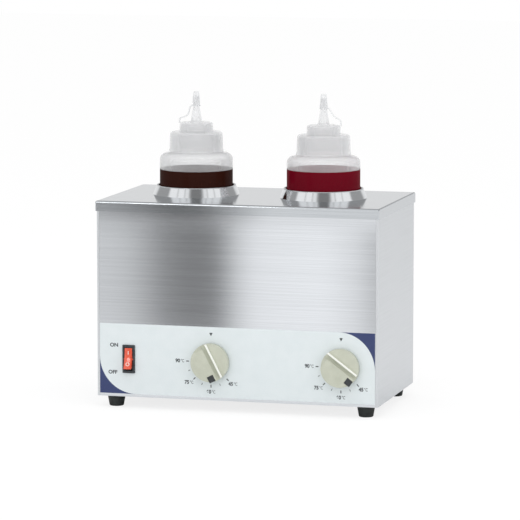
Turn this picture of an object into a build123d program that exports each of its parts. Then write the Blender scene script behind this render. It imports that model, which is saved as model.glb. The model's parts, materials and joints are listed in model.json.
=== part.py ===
"""Two-well bottle warmer for hot toppings: a stainless cabinet with two heated wells, a squeeze
bottle standing in each, a rocker switch and a thermostat knob for each well.

The frame stands on the table at z = 0, +X is to the right of the front and +Y to the back.
"""
import os
from math import cos, hypot, radians, sin

from build123d import *

# ---------------------------------------------------------------------------
# Driving dimensions, in millimetres and degrees
# ---------------------------------------------------------------------------

# Cabinet of folded stainless sheet
SHEET = 1.0
CASE_W = 320.0
CASE_D = 176.6
CASE_H = 216.8
RETURN_W = 2.8  # strip of the side panels that shows at the front and the back
FLANGE_W = 12.0  # lap of the side panels behind the front and rear panels
SEAM = 0.1  # gap between a panel and the return beside it
BEND_R = 1.3
TRAY_LIP = 14.0
TRAY_PLAY = 0.1
LID_OVERHANG = 1.3
LID_LIP = 11.4
LID_BEND_R = 2.0
LID_SEAT = 0.3  # between the panels' top edges and the lid, clear of the lid's bend

# Rubber feet, each with its washer, screw and nut
FOOT_H = 13.0
FOOT_TOP_R = 10.2
FOOT_TOE_R = 7.9
FOOT_TOE_ROUND = 1.3
FOOT_INSET = 17.0  # from the cabinet's edges to the foot's centre
FOOT_BORE_R = 4.6
FOOT_BORE_DEEP = 8.0
WASHER_R = 4.4
WASHER_T = 1.0

# Metric machine screws of the cabinet
SCREW_R = 2.0
SCREW_HEAD_R = 3.6
SCREW_HEAD_T = 2.2
SCREW_HEAD_ROUND = 0.7
SCREW_PLAY = 0.15
SCREW_GRIP = 5.0  # shank beyond the sheets that it clamps
NUT_R = 4.04  # over the corners
NUT_T = 3.2
HEX_SIDES = 6
REAR_SCREW_ROWS = 3
REAR_SCREW_LOW = 30.0
REAR_SCREW_STEP = 76.0
LID_SCREW_PITCH = 120.0

# Ventilation slots
SLOT_W = 3.0
SLOT_H = 34.0
SLOT_STEP = 9.0
SLOTS = 8
REAR_SLOT_X = 74.0
REAR_SLOT_Z = 150.0
BASE_SLOTS = 6

# Printed overlay on the lower front
OVERLAY_MARGIN = 0.3  # bare steel at its sides
OVERLAY_H = 78.4
OVERLAY_LOW = 3.3  # bare steel below it
OVERLAY_T = 0.25
OVERLAY_WINDOW_R = 18.8

# Heated wells
WELL_X = 73.7
WELL_SETBACK = 11.0  # behind the middle of the cabinet
WELL_R = 42.6
WELL_WALL = 0.8
WELL_DEPTH = 145.5  # from the lid's top down to the well's floor
RIM_W = 1.0
COLLAR_BASE_R = 49.0
COLLAR_TOP_R = 44.7
COLLAR_H = 9.5
COLLAR_WALL = 1.0
COLLAR_PLAY = 0.1
LID_HOLE_R = 44.8

# Band heater and its insulation
BAND_T = 2.5
BAND_H = 60.0
BAND_LIFT = 10.0  # above the well's floor
BAND_GAP = 6.0
EAR_L = 10.0
EAR_T = 1.2
CLAMP_BOLT_R = 2.0
POST_R = 2.5
POST_L = 8.0
POST_AT = 20.0
POST_INSET = 14.0
WRAP_T = 10.0
WRAP_H = 112.0
WRAP_OPEN_FROM = -54.0
WRAP_OPEN_TO = 32.0
CONTACT_PLAY = 0.1

# Thermostats: body, shaft, bulb on its capillary
DIAL_OFFSET = 45.0  # to the right of its well
DIAL_LIFT = 42.8  # above the cabinet's lower edge
STAT_PLATE_W = 42.0
STAT_PLATE_H = 20.0
STAT_PLATE_T = 1.2
STAT_W = 34.0
STAT_H = 40.0
STAT_DEPTH = 22.0
STAT_SCREW_PITCH = 28.0
SHAFT_R = 3.0
SHAFT_FLAT = 1.5  # from the shaft's axis to its flat
SHAFT_PLAY = 0.06
SHAFT_IN_BODY = 16.0
SHAFT_HOLE_R = 5.0
BULB_R = 3.0
BULB_L = 55.0
BULB_AT = -35.0
BULB_LIFT = 86.0
CAPILLARY_R = 0.9
CAPILLARY_BEND = 6.0
CAPILLARY_X = 8.5  # outlet, to the left of the shaft
CAPILLARY_INSET = 2.7  # outlet below the housing's upper edge
CAPILLARY_OUT = 12.0  # straight stretch behind the housing
CAPILLARY_RISE = 24.0
CAPILLARY_CLEAR = 9.0  # from the heating band to the upright stretch
CAPILLARY_TAIL = 12.0  # straight stretch under the bulb
CLIP_W = 14.0
CLIP_D = 6.5
CLIP_H = 8.0
CLIP_LOW = 9.2  # from the bulb's lower end to the first clip
CLIP_STEP = 27.5
CLIPS = 2
CLIP_WRAP = 0.75  # past the bulb's axis line on the side of the pot

# Over-temperature cut-out under each well
CUTOUT_R = 8.0
CUTOUT_H = 9.0

# Flat terminals
BLADE_W = 6.3
BLADE_T = 0.8
BLADE_L = 9.0

# Rocker switch
SWITCH_INSET = 36.8  # from the cabinet's left side
SWITCH_LIFT = 42.4
BEZEL_W = 14.3
BEZEL_H = 31.5
BEZEL_T = 2.0
BEZEL_ROUND = 0.7
SWITCH_BODY_W = 12.0
SWITCH_BODY_H = 28.4
SWITCH_DEPTH = 18.0
SWITCH_CUT_PLAY = 0.2
ROCKER_W = 8.4
ROCKER_HALF_H = 11.8
ROCKER_FRONT = 4.2
ROCKER_DISH = 1.3
ROCKER_BACK = 4.0
ROCKER_BACK_HALF_H = 3.0
ROCKER_TILT = 14.0
ROCKER_PIN_R = 1.2
ROCKER_PIN_BITE = 0.65  # into the housing's side walls
ROCKER_PIN_PLAY = 0.05
ROCKER_PLAY = 0.5
ROCKER_SINK = 1.0  # pivot behind the bezel's face
TERMINAL_PITCH = 9.0
SWITCH_POLES = 3

# Thermostat knobs
KNOB_R = 21.1
KNOB_T = 7.65
KNOB_GAP = 0.8
KNOB_POCKET_R = 18.6
KNOB_POCKET = 2.4
KNOB_HUB_R = 5.6
KNOB_BORE = 4.3
KNOB_TRIM = 4.2  # cut away all round when the blank is made round
CHANNEL_W = 5.3
CHANNEL_DEEP = 3.2
CHANNEL_BOW = 0.82
RIDGE_W = 1.9
RIDGE_RISE = 2.4
SLOPE_STEP = 0.5
SLOPE_FALL = 1.2
BLOCK_END = 17.0
BLOCK_STEP = 1.6
POINTER_W = 7.4
POINTER_U = 16.9
POINTER_V = 5.9
POINTER_T = 1.7
POINTER_SINK = 1.5
RIDGE_TURN_LEFT = 152.6  # clockwise from the top, as the knobs stand in use
RIDGE_TURN_RIGHT = 126.4

# Cable gland
GLAND_INSET = 42.0  # from the cabinet's right side
GLAND_LIFT = 30.0
GLAND_BORE_R = 4.0
GLAND_THREAD_R = 7.9
GLAND_HEX = 22.0
GLAND_HEX_T = 6.0
GLAND_NOSE_R = 9.5
GLAND_NOSE_L = 12.0
GLAND_NOSE_ROUND = 3.2
GLAND_TAIL = 9.0
GLAND_NUT_T = 4.0

# Terminal block and earth stud on the tray
BLOCK_W = 36.0
BLOCK_D = 20.0
BLOCK_H = 16.0
BLOCK_INSET = 76.0  # from the cabinet's right side
BLOCK_FROM_BACK = 28.3
BLOCK_POLES = 3
BLOCK_POLE_R = 2.2
EARTH_INSET = 32.0  # from the cabinet's right side
EARTH_FROM_BACK = 30.3
EARTH_L = 16.0

# Wires
WIRE_R = 1.1
WIRE_BEND = 5.0
WIRE_STEP = 6.0  # between the drops of neighbouring wires
WIRE_OUT = 13.0  # straight stretch behind a flat terminal
WIRE_LANE_STEP = 4.0
WIRE_DROP = 18.0  # below the cut-outs' terminals
WIRE_REACH = 24.0  # straight stretch behind a thermostat

# Squeeze bottles
BOTTLE_R = 41.0
BOTTLE_WALL = 1.2
BOTTLE_FOOT_R = 6.0
BOTTLE_BODY_H = 189.9
SHOULDER_RISE = 3.4
SHOULDER_R = 7.0
NECK_R = 26.5
NECK_H = 19.8
BOTTLE_SEAT = 0.2
THREAD_DEEP = 0.7
THREAD_TALL = 1.3
THREAD_ROOT = 0.2  # the ring's hold in its wall
THREAD_PITCH = 4.4
THREADS = 3
SAUCE_PLAY = 0.1
HEADSPACE_LEFT = 16.1  # from the topping up to the bottle's shoulder
HEADSPACE_RIGHT = 12.6

# Wide cap, nozzle cap and tip cover
CAP_MOUTH_R = 30.2
CAP_TOP_R = 29.4
CAP_BEAD = 0.5
CAP_BEAD_H = 1.6
CAP_ROUND = 2.6
CAP_TOP_T = 1.9
CAP_SEAT = 0.2
CAP_SHOULDER_GAP = 0.85
CAP_THREAD_PLAY = 0.35
PORT_R = 16.2
PORT_WALL = 1.8
PORT_H = 8.7
PORT_THREAD = 0.5
PORT_THREADS = 2
NOZZLE_CAP_R = 18.75
NOZZLE_CAP_H = 10.4
NOZZLE_CAP_ROUND = 2.2
NOZZLE_CAP_WALL = 1.4
NOZZLE_SEAT = 0.3
CONE_BASE_R = 6.0
CONE_FLARE = 0.85
CONE_FILLET = 1.7
CONE_FOOT_H = 3.7
CONE_MID_R = 3.3
CONE_MID_H = 15.7
CONE_TIP_R = 2.4
CONE_TIP_H = 10.3
CONE_BORE_R = 1.3
CONE_WALL = 1.2
TIP_PLAY = 0.25
TIP_MOUTH_PLAY = 0.38
TIP_WALL = 0.8
TIP_LAP = 11.7
TIP_H = 16.6
TIP_TOP_R = 3.35
TIP_STEP = 0.35
TIP_STEP_H = 1.9
TIP_BEAD_R = 4.95
TIP_BEAD_H = 1.2
STRAP_T = 1.4
STRAP_W = 3.0
STRAP_STEP = 2.4  # first level stretch beside the cover's bead
STRAP_FALL_X = 2.4
STRAP_LEVEL_X = 4.8
STRAP_BEND = 1.4

# ---------------------------------------------------------------------------
# Places worked out from them
# ---------------------------------------------------------------------------

KNOB_REACH = OVERLAY_T + KNOB_GAP + KNOB_T + RIDGE_RISE
GLAND_REACH = GLAND_HEX_T + GLAND_NOSE_L
CASE_Y = (KNOB_REACH - GLAND_REACH) / 2
FRONT = CASE_Y - CASE_D / 2
BACK = CASE_Y + CASE_D / 2
SIDE = CASE_W / 2
CASE_BOTTOM = FOOT_H
CASE_TOP = CASE_BOTTOM + CASE_H
LID_TOP = CASE_TOP + SHEET
TRAY_TOP = CASE_BOTTOM + SHEET
SEAM_X = SIDE - RETURN_W
PANEL_W = 2 * (SEAM_X - SEAM)
OVERLAY_W = PANEL_W - 2 * OVERLAY_MARGIN

WELL_Y = CASE_Y + WELL_SETBACK
WELL_FLOOR = LID_TOP - WELL_DEPTH
RIM_TOP = LID_TOP + COLLAR_H + WELL_WALL
WELL_OUT_R = WELL_R + WELL_WALL
BAND_R = WELL_OUT_R + CONTACT_PLAY
BAND_OUT_R = BAND_R + BAND_T
BAND_Z = WELL_FLOOR + BAND_LIFT
CLAMP_R = BAND_OUT_R + EAR_L / 2
BULB_AXIS_R = WELL_OUT_R + CONTACT_PLAY + BULB_R
BULB_Z = WELL_FLOOR + BULB_LIFT

DIAL_Z = CASE_BOTTOM + DIAL_LIFT
STAT_BACK = FRONT + SHEET + STAT_PLATE_T + STAT_DEPTH
SWITCH_X = -SIDE + SWITCH_INSET
SWITCH_Z = CASE_BOTTOM + SWITCH_LIFT
SWITCH_FACE = FRONT - OVERLAY_T
SWITCH_BACK = SWITCH_FACE + SWITCH_DEPTH
PIVOT_Y = SWITCH_FACE - BEZEL_T + ROCKER_SINK
KNOB_BACK = FRONT - OVERLAY_T - KNOB_GAP
KNOB_FACE = KNOB_BACK - KNOB_T

GLAND_X = SIDE - GLAND_INSET
BLOCK_X = SIDE - BLOCK_INSET
BLOCK_Y = BACK - BLOCK_FROM_BACK
EARTH_X = SIDE - EARTH_INSET
EARTH_Y = BACK - EARTH_FROM_BACK

BOTTLE_BASE = WELL_FLOOR + BOTTLE_SEAT
SHOULDER_Z = BOTTLE_BASE + BOTTLE_BODY_H
NECK_BASE = SHOULDER_Z + SHOULDER_RISE
NECK_TOP = NECK_BASE + NECK_H
CAP_CEILING = NECK_TOP + CAP_SEAT
CAP_TOP = CAP_CEILING + CAP_TOP_T
SHOULDER_UNDER_CAP = SHOULDER_Z + SHOULDER_RISE * (BOTTLE_R - CAP_MOUTH_R) / (BOTTLE_R - NECK_R)
CAP_MOUTH = SHOULDER_UNDER_CAP + CAP_SHOULDER_GAP
CAP_BORE_R = NECK_R + 2 * THREAD_DEEP + CAP_THREAD_PLAY
PORT_TOP = CAP_TOP + PORT_H
NOZZLE_MOUTH = CAP_TOP + NOZZLE_SEAT
NOZZLE_TOP = NOZZLE_MOUTH + NOZZLE_CAP_H
CONE_FOOT = NOZZLE_TOP + CONE_FOOT_H
CONE_MID = CONE_FOOT + CONE_MID_H
CONE_TIP = CONE_MID + CONE_TIP_H
TIP_MOUTH = CONE_TIP - TIP_LAP
TIP_TOP = TIP_MOUTH + TIP_H

SIDES = (("left", -1), ("right", 1))
FULL_TURN = 360
UPRIGHT = 90
PANEL_H = CASE_H - LID_SEAT


# ---------------------------------------------------------------------------
# Planes, axes and the writing of a finished piece
# ---------------------------------------------------------------------------


def upright(x, y, z):
    """Plane that faces the front: its x runs to the right and its y runs up."""
    return Plane(origin=(x, y, z), x_dir=(1, 0, 0), z_dir=(0, -1, 0))


def level(x, y, z):
    """Plane that faces up: its x runs to the right and its y runs to the back."""
    return Plane(origin=(x, y, z))


def well_axis(side):
    """Upright axis of one well and of all that stands in it."""
    return Axis((side * WELL_X, WELL_Y, 0), (0, 0, 1))


def save(piece, label):
    """Give a finished piece its plain name and write it."""
    piece.part.label = label
    export_step(piece.part, f"parts/{label}.step")


def dial_x(side):
    """Place of a thermostat's shaft across the front."""
    return side * WELL_X + DIAL_OFFSET


def rear_screw_spots(side):
    """Places of one column of rear screws, in the laps of the side panels."""
    x = side * (SIDE - SHEET - (FLANGE_W - SHEET) / 2)
    low = CASE_BOTTOM + REAR_SCREW_LOW
    return [(x, low + row * REAR_SCREW_STEP) for row in range(REAR_SCREW_ROWS)]


def foot_spots():
    """Places of the four feet under the cabinet."""
    return GridLocations(CASE_W - 2 * FOOT_INSET, CASE_D - 2 * FOOT_INSET, 2, 2)


def lid_screw_spots():
    """Places of the screws in the lid's rear lip."""
    z = LID_TOP - LID_LIP / 2 - SHEET / 2
    return [(step * LID_SCREW_PITCH, z) for step in (-1, 0, 1)]


# ---------------------------------------------------------------------------
# Cabinet: tray, panels, lid and overlay
# ---------------------------------------------------------------------------


def make_base_tray():
    """Floor of the cabinet with a lip all round, holes for the feet and slots for cooling air."""
    with BuildPart() as tray:
        with BuildSketch(level(0, CASE_Y, CASE_BOTTOM)):
            Rectangle(
                CASE_W - 2 * (SHEET + TRAY_PLAY),
                CASE_D - 2 * (2 * SHEET + TRAY_PLAY),
            )
        extrude(amount=TRAY_LIP)
        fillet(tray.edges().filter_by(Axis.Z), BEND_R)
        offset(amount=-SHEET, openings=tray.faces().sort_by(Axis.Z)[-1])
        with BuildSketch(level(0, CASE_Y, CASE_BOTTOM)):
            with foot_spots():
                Circle(SCREW_R + SCREW_PLAY)
            with GridLocations(SLOT_STEP, 0, BASE_SLOTS, 1):
                SlotOverall(SLOT_H, SLOT_W, rotation=UPRIGHT)
        extrude(amount=SHEET, mode=Mode.SUBTRACT)
    return tray


def make_side_panel(side):
    """One side: it wraps round the front and rear edges and laps behind both panels."""
    outer = side * SIDE
    inner = side * (SIDE - SHEET)
    seam = side * SEAM_X
    lap = side * (SIDE - FLANGE_W)
    with BuildPart() as panel:
        with BuildSketch(level(0, 0, CASE_BOTTOM)):
            with BuildLine():
                Polyline(
                    (outer, FRONT),
                    (outer, BACK),
                    (seam, BACK),
                    (seam, BACK - SHEET),
                    (lap, BACK - SHEET),
                    (lap, BACK - 2 * SHEET),
                    (inner, BACK - 2 * SHEET),
                    (inner, FRONT + 2 * SHEET),
                    (lap, FRONT + 2 * SHEET),
                    (lap, FRONT + SHEET),
                    (seam, FRONT + SHEET),
                    (seam, FRONT),
                    close=True,
                )
            make_face()
        extrude(amount=PANEL_H)
        bends = panel.edges().filter_by(Axis.Z).group_by(Axis.X)[-1 if side > 0 else 0]
        fillet(bends, BEND_R)
        with BuildSketch(upright(0, BACK - SHEET, 0)):
            with Locations(*rear_screw_spots(side)):
                Circle(SCREW_R + SCREW_PLAY)
        extrude(amount=SHEET, mode=Mode.SUBTRACT)
    return panel


def make_front_panel():
    """Brushed front between the returns, cut out for the switch and the thermostats."""
    with BuildPart() as panel:
        with BuildSketch(upright(0, FRONT + SHEET, CASE_BOTTOM + PANEL_H / 2)):
            Rectangle(PANEL_W, PANEL_H)
        extrude(amount=SHEET)
        with BuildSketch(upright(0, FRONT + SHEET, 0)):
            with Locations((SWITCH_X, SWITCH_Z)):
                Rectangle(SWITCH_BODY_W + SWITCH_CUT_PLAY, SWITCH_BODY_H + SWITCH_CUT_PLAY)
            with Locations(*[(dial_x(side), DIAL_Z) for _, side in SIDES]):
                Circle(SHAFT_HOLE_R)
                with GridLocations(STAT_SCREW_PITCH, 0, 2, 1):
                    Circle(SCREW_R + SCREW_PLAY)
        extrude(amount=SHEET, mode=Mode.SUBTRACT)
    return panel


def make_rear_panel():
    """Removable back with two louvre fields, its screw holes and the hole for the gland."""
    with BuildPart() as panel:
        with BuildSketch(upright(0, BACK, CASE_BOTTOM + PANEL_H / 2)):
            Rectangle(PANEL_W, PANEL_H)
        extrude(amount=SHEET)
        with BuildSketch(upright(0, BACK, 0)):
            with Locations((-REAR_SLOT_X, REAR_SLOT_Z), (REAR_SLOT_X, REAR_SLOT_Z)):
                with GridLocations(SLOT_STEP, 0, SLOTS, 1):
                    SlotOverall(SLOT_H, SLOT_W, rotation=UPRIGHT)
            with Locations(*rear_screw_spots(-1), *rear_screw_spots(1), *lid_screw_spots()):
                Circle(SCREW_R + SCREW_PLAY)
            with Locations((GLAND_X, CASE_BOTTOM + GLAND_LIFT)):
                Circle(GLAND_THREAD_R + SCREW_PLAY)
        extrude(amount=SHEET, mode=Mode.SUBTRACT)
    return panel


def make_lid_plate():
    """Folded top with a lip on all four sides and the two well holes."""
    with BuildPart() as lid:
        with BuildSketch(level(0, CASE_Y, LID_TOP - LID_LIP)):
            Rectangle(CASE_W + 2 * LID_OVERHANG, CASE_D + 2 * LID_OVERHANG)
        extrude(amount=LID_LIP)
        fillet(lid.edges().filter_by(Axis.Z), BEND_R)
        fillet(lid.faces().sort_by(Axis.Z)[-1].edges(), LID_BEND_R)
        offset(amount=-SHEET, openings=lid.faces().sort_by(Axis.Z)[0])
        with BuildSketch(level(0, WELL_Y, CASE_TOP)):
            with Locations((-WELL_X, 0), (WELL_X, 0)):
                Circle(LID_HOLE_R)
        extrude(amount=SHEET, mode=Mode.SUBTRACT)
        with BuildSketch(upright(0, BACK + LID_OVERHANG, 0)):
            with Locations(*lid_screw_spots()):
                Circle(SCREW_R + SCREW_PLAY)
        extrude(amount=SHEET, mode=Mode.SUBTRACT)
    return lid


def make_control_overlay():
    """Thin printed sheet stuck on the lower front, with windows for the switch and the shafts."""
    with BuildPart() as overlay:
        with BuildSketch(upright(0, FRONT, CASE_BOTTOM + OVERLAY_LOW + OVERLAY_H / 2)):
            Rectangle(OVERLAY_W, OVERLAY_H)
        extrude(amount=OVERLAY_T)
        with BuildSketch(upright(0, FRONT, 0)):
            with Locations((SWITCH_X, SWITCH_Z)):
                Rectangle(SWITCH_BODY_W + SWITCH_CUT_PLAY, SWITCH_BODY_H + SWITCH_CUT_PLAY)
            with Locations(*[(dial_x(side), DIAL_Z) for _, side in SIDES]):
                Circle(OVERLAY_WINDOW_R)
        extrude(amount=OVERLAY_T, mode=Mode.SUBTRACT)
    return overlay


# ---------------------------------------------------------------------------
# Wells, collars, heaters and insulation
# ---------------------------------------------------------------------------


def make_collar_ring(side):
    """Spun conical ring on the lid round a well; the well's rim hangs on its top lip."""
    lip_r = WELL_OUT_R + COLLAR_PLAY
    with BuildPart() as collar:
        with BuildSketch(upright(side * WELL_X, WELL_Y, 0)):
            with BuildLine():
                Polyline(
                    (COLLAR_BASE_R, LID_TOP),
                    (COLLAR_TOP_R, LID_TOP + COLLAR_H),
                    (lip_r, LID_TOP + COLLAR_H),
                    (lip_r, LID_TOP + COLLAR_H - COLLAR_WALL),
                    (COLLAR_TOP_R - COLLAR_WALL, LID_TOP + COLLAR_H - COLLAR_WALL),
                    (COLLAR_BASE_R - COLLAR_WALL, LID_TOP),
                    close=True,
                )
            make_face()
        revolve(axis=well_axis(side))
    return collar


def make_well_pot(side):
    """Drawn pot that holds the bottle, with a narrow rim turned out over the collar."""
    rim_r = WELL_OUT_R + RIM_W
    floor = WELL_FLOOR - WELL_WALL
    with BuildPart() as pot:
        with BuildSketch(upright(side * WELL_X, WELL_Y, 0)):
            with BuildLine():
                Polyline(
                    (0, floor),
                    (WELL_OUT_R, floor),
                    (WELL_OUT_R, RIM_TOP - WELL_WALL),
                    (rim_r, RIM_TOP - WELL_WALL),
                    (rim_r, RIM_TOP),
                    (WELL_R, RIM_TOP),
                    (WELL_R, WELL_FLOOR),
                    (0, WELL_FLOOR),
                    close=True,
                )
            make_face()
        revolve(axis=well_axis(side))
        foot_edge = pot.edges().filter_by(GeomType.CIRCLE).sort_by(Axis.Z)[0]
        fillet(foot_edge, WELL_WALL)
    return pot


def make_band_heater(side):
    """Split heating band round the pot with two clamp ears."""
    ear_out = BAND_OUT_R + EAR_L
    with BuildPart() as band:
        with BuildSketch(level(side * WELL_X, WELL_Y, BAND_Z)):
            Circle(BAND_OUT_R)
            with Locations((ear_out / 2, 0)):
                Rectangle(ear_out, BAND_GAP + 2 * EAR_T)
            Circle(BAND_R, mode=Mode.SUBTRACT)
            with Locations((ear_out / 2 + BAND_T, 0)):
                Rectangle(ear_out, BAND_GAP, mode=Mode.SUBTRACT)
        extrude(amount=BAND_H)
        with BuildSketch(upright(side * WELL_X + CLAMP_R, WELL_Y, BAND_Z + BAND_H / 2)):
            Circle(CLAMP_BOLT_R + CONTACT_PLAY)
        extrude(amount=BAND_GAP, both=True, mode=Mode.SUBTRACT)
    return band


def make_clamp_bolts():
    """Bolt and nut through the ears of each heating band."""
    ear_face = BAND_GAP / 2 + EAR_T
    middle = BAND_Z + BAND_H / 2
    with BuildPart() as bolts:
        for _, side in SIDES:
            x = side * WELL_X + CLAMP_R
            with BuildSketch(upright(x, WELL_Y + ear_face + NUT_T, middle)):
                Circle(CLAMP_BOLT_R)
            extrude(amount=2 * ear_face + NUT_T)
            with BuildSketch(upright(x, WELL_Y - ear_face, middle)):
                Circle(SCREW_HEAD_R)
            extrude(amount=SCREW_HEAD_T)
            with BuildSketch(upright(x, WELL_Y + ear_face + NUT_T, middle)):
                RegularPolygon(NUT_R, HEX_SIDES)
            extrude(amount=NUT_T)
    return bolts


def make_heater_terminals():
    """Two brass posts standing out of each heating band."""
    reach = BAND_OUT_R + CONTACT_PLAY
    way = (cos(radians(POST_AT)), sin(radians(POST_AT)), 0)
    with BuildPart() as posts:
        for _, side in SIDES:
            root = Vector(side * WELL_X, WELL_Y, 0) + Vector(*way) * reach
            for z in (BAND_Z + POST_INSET, BAND_Z + BAND_H - POST_INSET):
                with BuildSketch(Plane(origin=(root.X, root.Y, z), z_dir=way)):
                    Circle(POST_R)
                extrude(amount=POST_L)
    return posts


def make_insulation(side):
    """Mineral wool wrapped round the heated pot, open where the ears and the bulb are."""
    start = radians(WRAP_OPEN_TO)
    way = (cos(start), sin(start), 0)
    inner_r = BAND_OUT_R + CONTACT_PLAY
    section = Plane(
        origin=(side * WELL_X, WELL_Y, WELL_FLOOR),
        x_dir=way,
        z_dir=(way[1], -way[0], 0),
    )
    with BuildPart() as wrap:
        with BuildSketch(section):
            with Locations((inner_r + WRAP_T / 2, WRAP_H / 2)):
                Rectangle(WRAP_T, WRAP_H)
        revolve(axis=well_axis(side), revolution_arc=FULL_TURN - (WRAP_OPEN_TO - WRAP_OPEN_FROM))
    return wrap


# ---------------------------------------------------------------------------
# Thermostats
# ---------------------------------------------------------------------------


def knob_turn(side):
    """Clockwise turn of a knob's ridge from the top, in radians."""
    return radians(RIDGE_TURN_LEFT if side < 0 else RIDGE_TURN_RIGHT)


def knob_plane(side, y):
    """Plane on a shaft's axis that faces the front, with its x along the knob's ridge."""
    turn = knob_turn(side)
    return Plane(
        origin=(dial_x(side), y, DIAL_Z),
        x_dir=(sin(turn), 0, cos(turn)),
        z_dir=(0, -1, 0),
    )


def make_thermostat_body(side):
    """Capillary thermostat: plate against the front, housing and two flat terminals."""
    x = dial_x(side)
    plate_back = FRONT + SHEET + STAT_PLATE_T
    with BuildPart() as body:
        with BuildSketch(upright(x, plate_back, DIAL_Z)):
            RectangleRounded(STAT_PLATE_W, STAT_PLATE_H, BEND_R)
        extrude(amount=STAT_PLATE_T)
        with BuildSketch(upright(x, STAT_BACK, DIAL_Z)):
            RectangleRounded(STAT_W, STAT_H, 2 * BEND_R)
        extrude(amount=STAT_DEPTH)
        with BuildSketch(upright(x, STAT_BACK + BLADE_L, DIAL_Z)):
            with GridLocations(2 * TERMINAL_PITCH, 0, 2, 1):
                Rectangle(BLADE_T, BLADE_W)
        extrude(amount=BLADE_L)
        with BuildSketch(upright(x, FRONT + SHEET, DIAL_Z)):
            Circle(SHAFT_R + SHAFT_PLAY)
        extrude(amount=-SHAFT_IN_BODY, mode=Mode.SUBTRACT)
        with BuildSketch(upright(x, FRONT + SHEET, DIAL_Z)):
            with GridLocations(STAT_SCREW_PITCH, 0, 2, 1):
                Circle(SCREW_R + CONTACT_PLAY)
        extrude(amount=-STAT_PLATE_T - SCREW_GRIP, mode=Mode.SUBTRACT)
    return body


def make_thermostat_shaft(side):
    """Turning shaft with a flat where the knob sits on it."""
    inner_end = FRONT + SHEET + SHAFT_IN_BODY - SHAFT_R / 2
    outer_end = KNOB_BACK - KNOB_BORE + CONTACT_PLAY
    with BuildPart() as shaft:
        with BuildSketch(upright(dial_x(side), inner_end, DIAL_Z)):
            Circle(SHAFT_R)
        extrude(amount=inner_end - outer_end)
        with BuildSketch(knob_plane(side, KNOB_BACK)):
            with Locations((0, SHAFT_FLAT)):
                Rectangle(2 * SHAFT_R, SHAFT_R, align=(Align.CENTER, Align.MIN))
        extrude(amount=KNOB_BORE, mode=Mode.SUBTRACT)
    return shaft


def make_thermostat_screws():
    """Two pan-head screws through the front into each thermostat, under the knob."""
    with BuildPart() as screws:
        for _, side in SIDES:
            with BuildSketch(upright(dial_x(side), FRONT, DIAL_Z)):
                with GridLocations(STAT_SCREW_PITCH, 0, 2, 1):
                    Circle(SCREW_HEAD_R)
            extrude(amount=SCREW_HEAD_T)
            with BuildSketch(upright(dial_x(side), FRONT, DIAL_Z)):
                with GridLocations(STAT_SCREW_PITCH, 0, 2, 1):
                    Circle(SCREW_R)
            extrude(amount=-SHEET - STAT_PLATE_T - SCREW_GRIP + CONTACT_PLAY)
    return screws


def bulb_spot(side):
    """Axis of the sensing bulb on the outside of its pot."""
    return (
        side * WELL_X + BULB_AXIS_R * cos(radians(BULB_AT)),
        WELL_Y + BULB_AXIS_R * sin(radians(BULB_AT)),
    )


def make_capillary(side):
    """Sensing bulb on the pot and the thin copper capillary that joins it to the thermostat."""
    bulb_x, bulb_y = bulb_spot(side)
    outlet_x = dial_x(side) - CAPILLARY_X
    outlet_z = DIAL_Z + STAT_H / 2 - CAPILLARY_INSET
    clear_r = BAND_OUT_R + CAPILLARY_CLEAR
    clear_x = side * WELL_X + clear_r * cos(radians(BULB_AT))
    clear_y = WELL_Y + clear_r * sin(radians(BULB_AT))
    below_bulb = BULB_Z - CAPILLARY_TAIL
    with BuildPart() as capillary:
        with BuildLine() as route:
            FilletPolyline(
                (outlet_x, STAT_BACK, outlet_z),
                (outlet_x, STAT_BACK + CAPILLARY_OUT, outlet_z),
                (clear_x, clear_y, outlet_z + CAPILLARY_RISE),
                (clear_x, clear_y, below_bulb - CAPILLARY_BEND),
                (bulb_x, bulb_y, below_bulb),
                (bulb_x, bulb_y, BULB_Z),
                radius=CAPILLARY_BEND,
            )
        with BuildSketch(Plane(origin=route.line @ 0, z_dir=route.line % 0)):
            Circle(CAPILLARY_R)
        sweep(path=route.line)
        with BuildSketch(level(bulb_x, bulb_y, BULB_Z)):
            Circle(BULB_R)
        extrude(amount=BULB_L)
        fillet(capillary.faces().sort_by(Axis.Z)[-1].edges(), BULB_R / 2)
    return capillary


def make_bulb_clips():
    """Two pressed saddles that hold each bulb against its pot."""
    with BuildPart() as clips:
        for _, side in SIDES:
            bulb_x, bulb_y = bulb_spot(side)
            out = (cos(radians(BULB_AT)), sin(radians(BULB_AT)), 0)
            for clip in range(CLIPS):
                z = BULB_Z + CLIP_LOW + clip * CLIP_STEP
                with BuildSketch(Plane(origin=(bulb_x, bulb_y, z), x_dir=out, z_dir=(0, 0, 1))):
                    with Locations((CLIP_D / 2 - BULB_R, 0)):
                        Rectangle(CLIP_D + 2 * CLIP_WRAP, CLIP_W)
                    Circle(BULB_R + CONTACT_PLAY, mode=Mode.SUBTRACT)
                    with Locations((-BULB_AXIS_R, 0)):
                        Circle(WELL_OUT_R + CONTACT_PLAY, mode=Mode.SUBTRACT)
                extrude(amount=CLIP_H)
    return clips


def make_overheat_cutouts():
    """Snap disc that cuts a heater off, held flat against the pot's floor."""
    with BuildPart() as cutouts:
        for _, side in SIDES:
            with BuildSketch(level(side * WELL_X, WELL_Y, WELL_FLOOR - WELL_WALL - CUTOUT_H)):
                Circle(CUTOUT_R)
            extrude(amount=CUTOUT_H)
            with BuildSketch(level(side * WELL_X, WELL_Y, WELL_FLOOR - WELL_WALL - CUTOUT_H)):
                with GridLocations(TERMINAL_PITCH, 0, 2, 1):
                    Rectangle(BLADE_T, BLADE_W)
            extrude(amount=-BLADE_L)
    return cutouts


# ---------------------------------------------------------------------------
# Rocker switch
# ---------------------------------------------------------------------------

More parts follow.
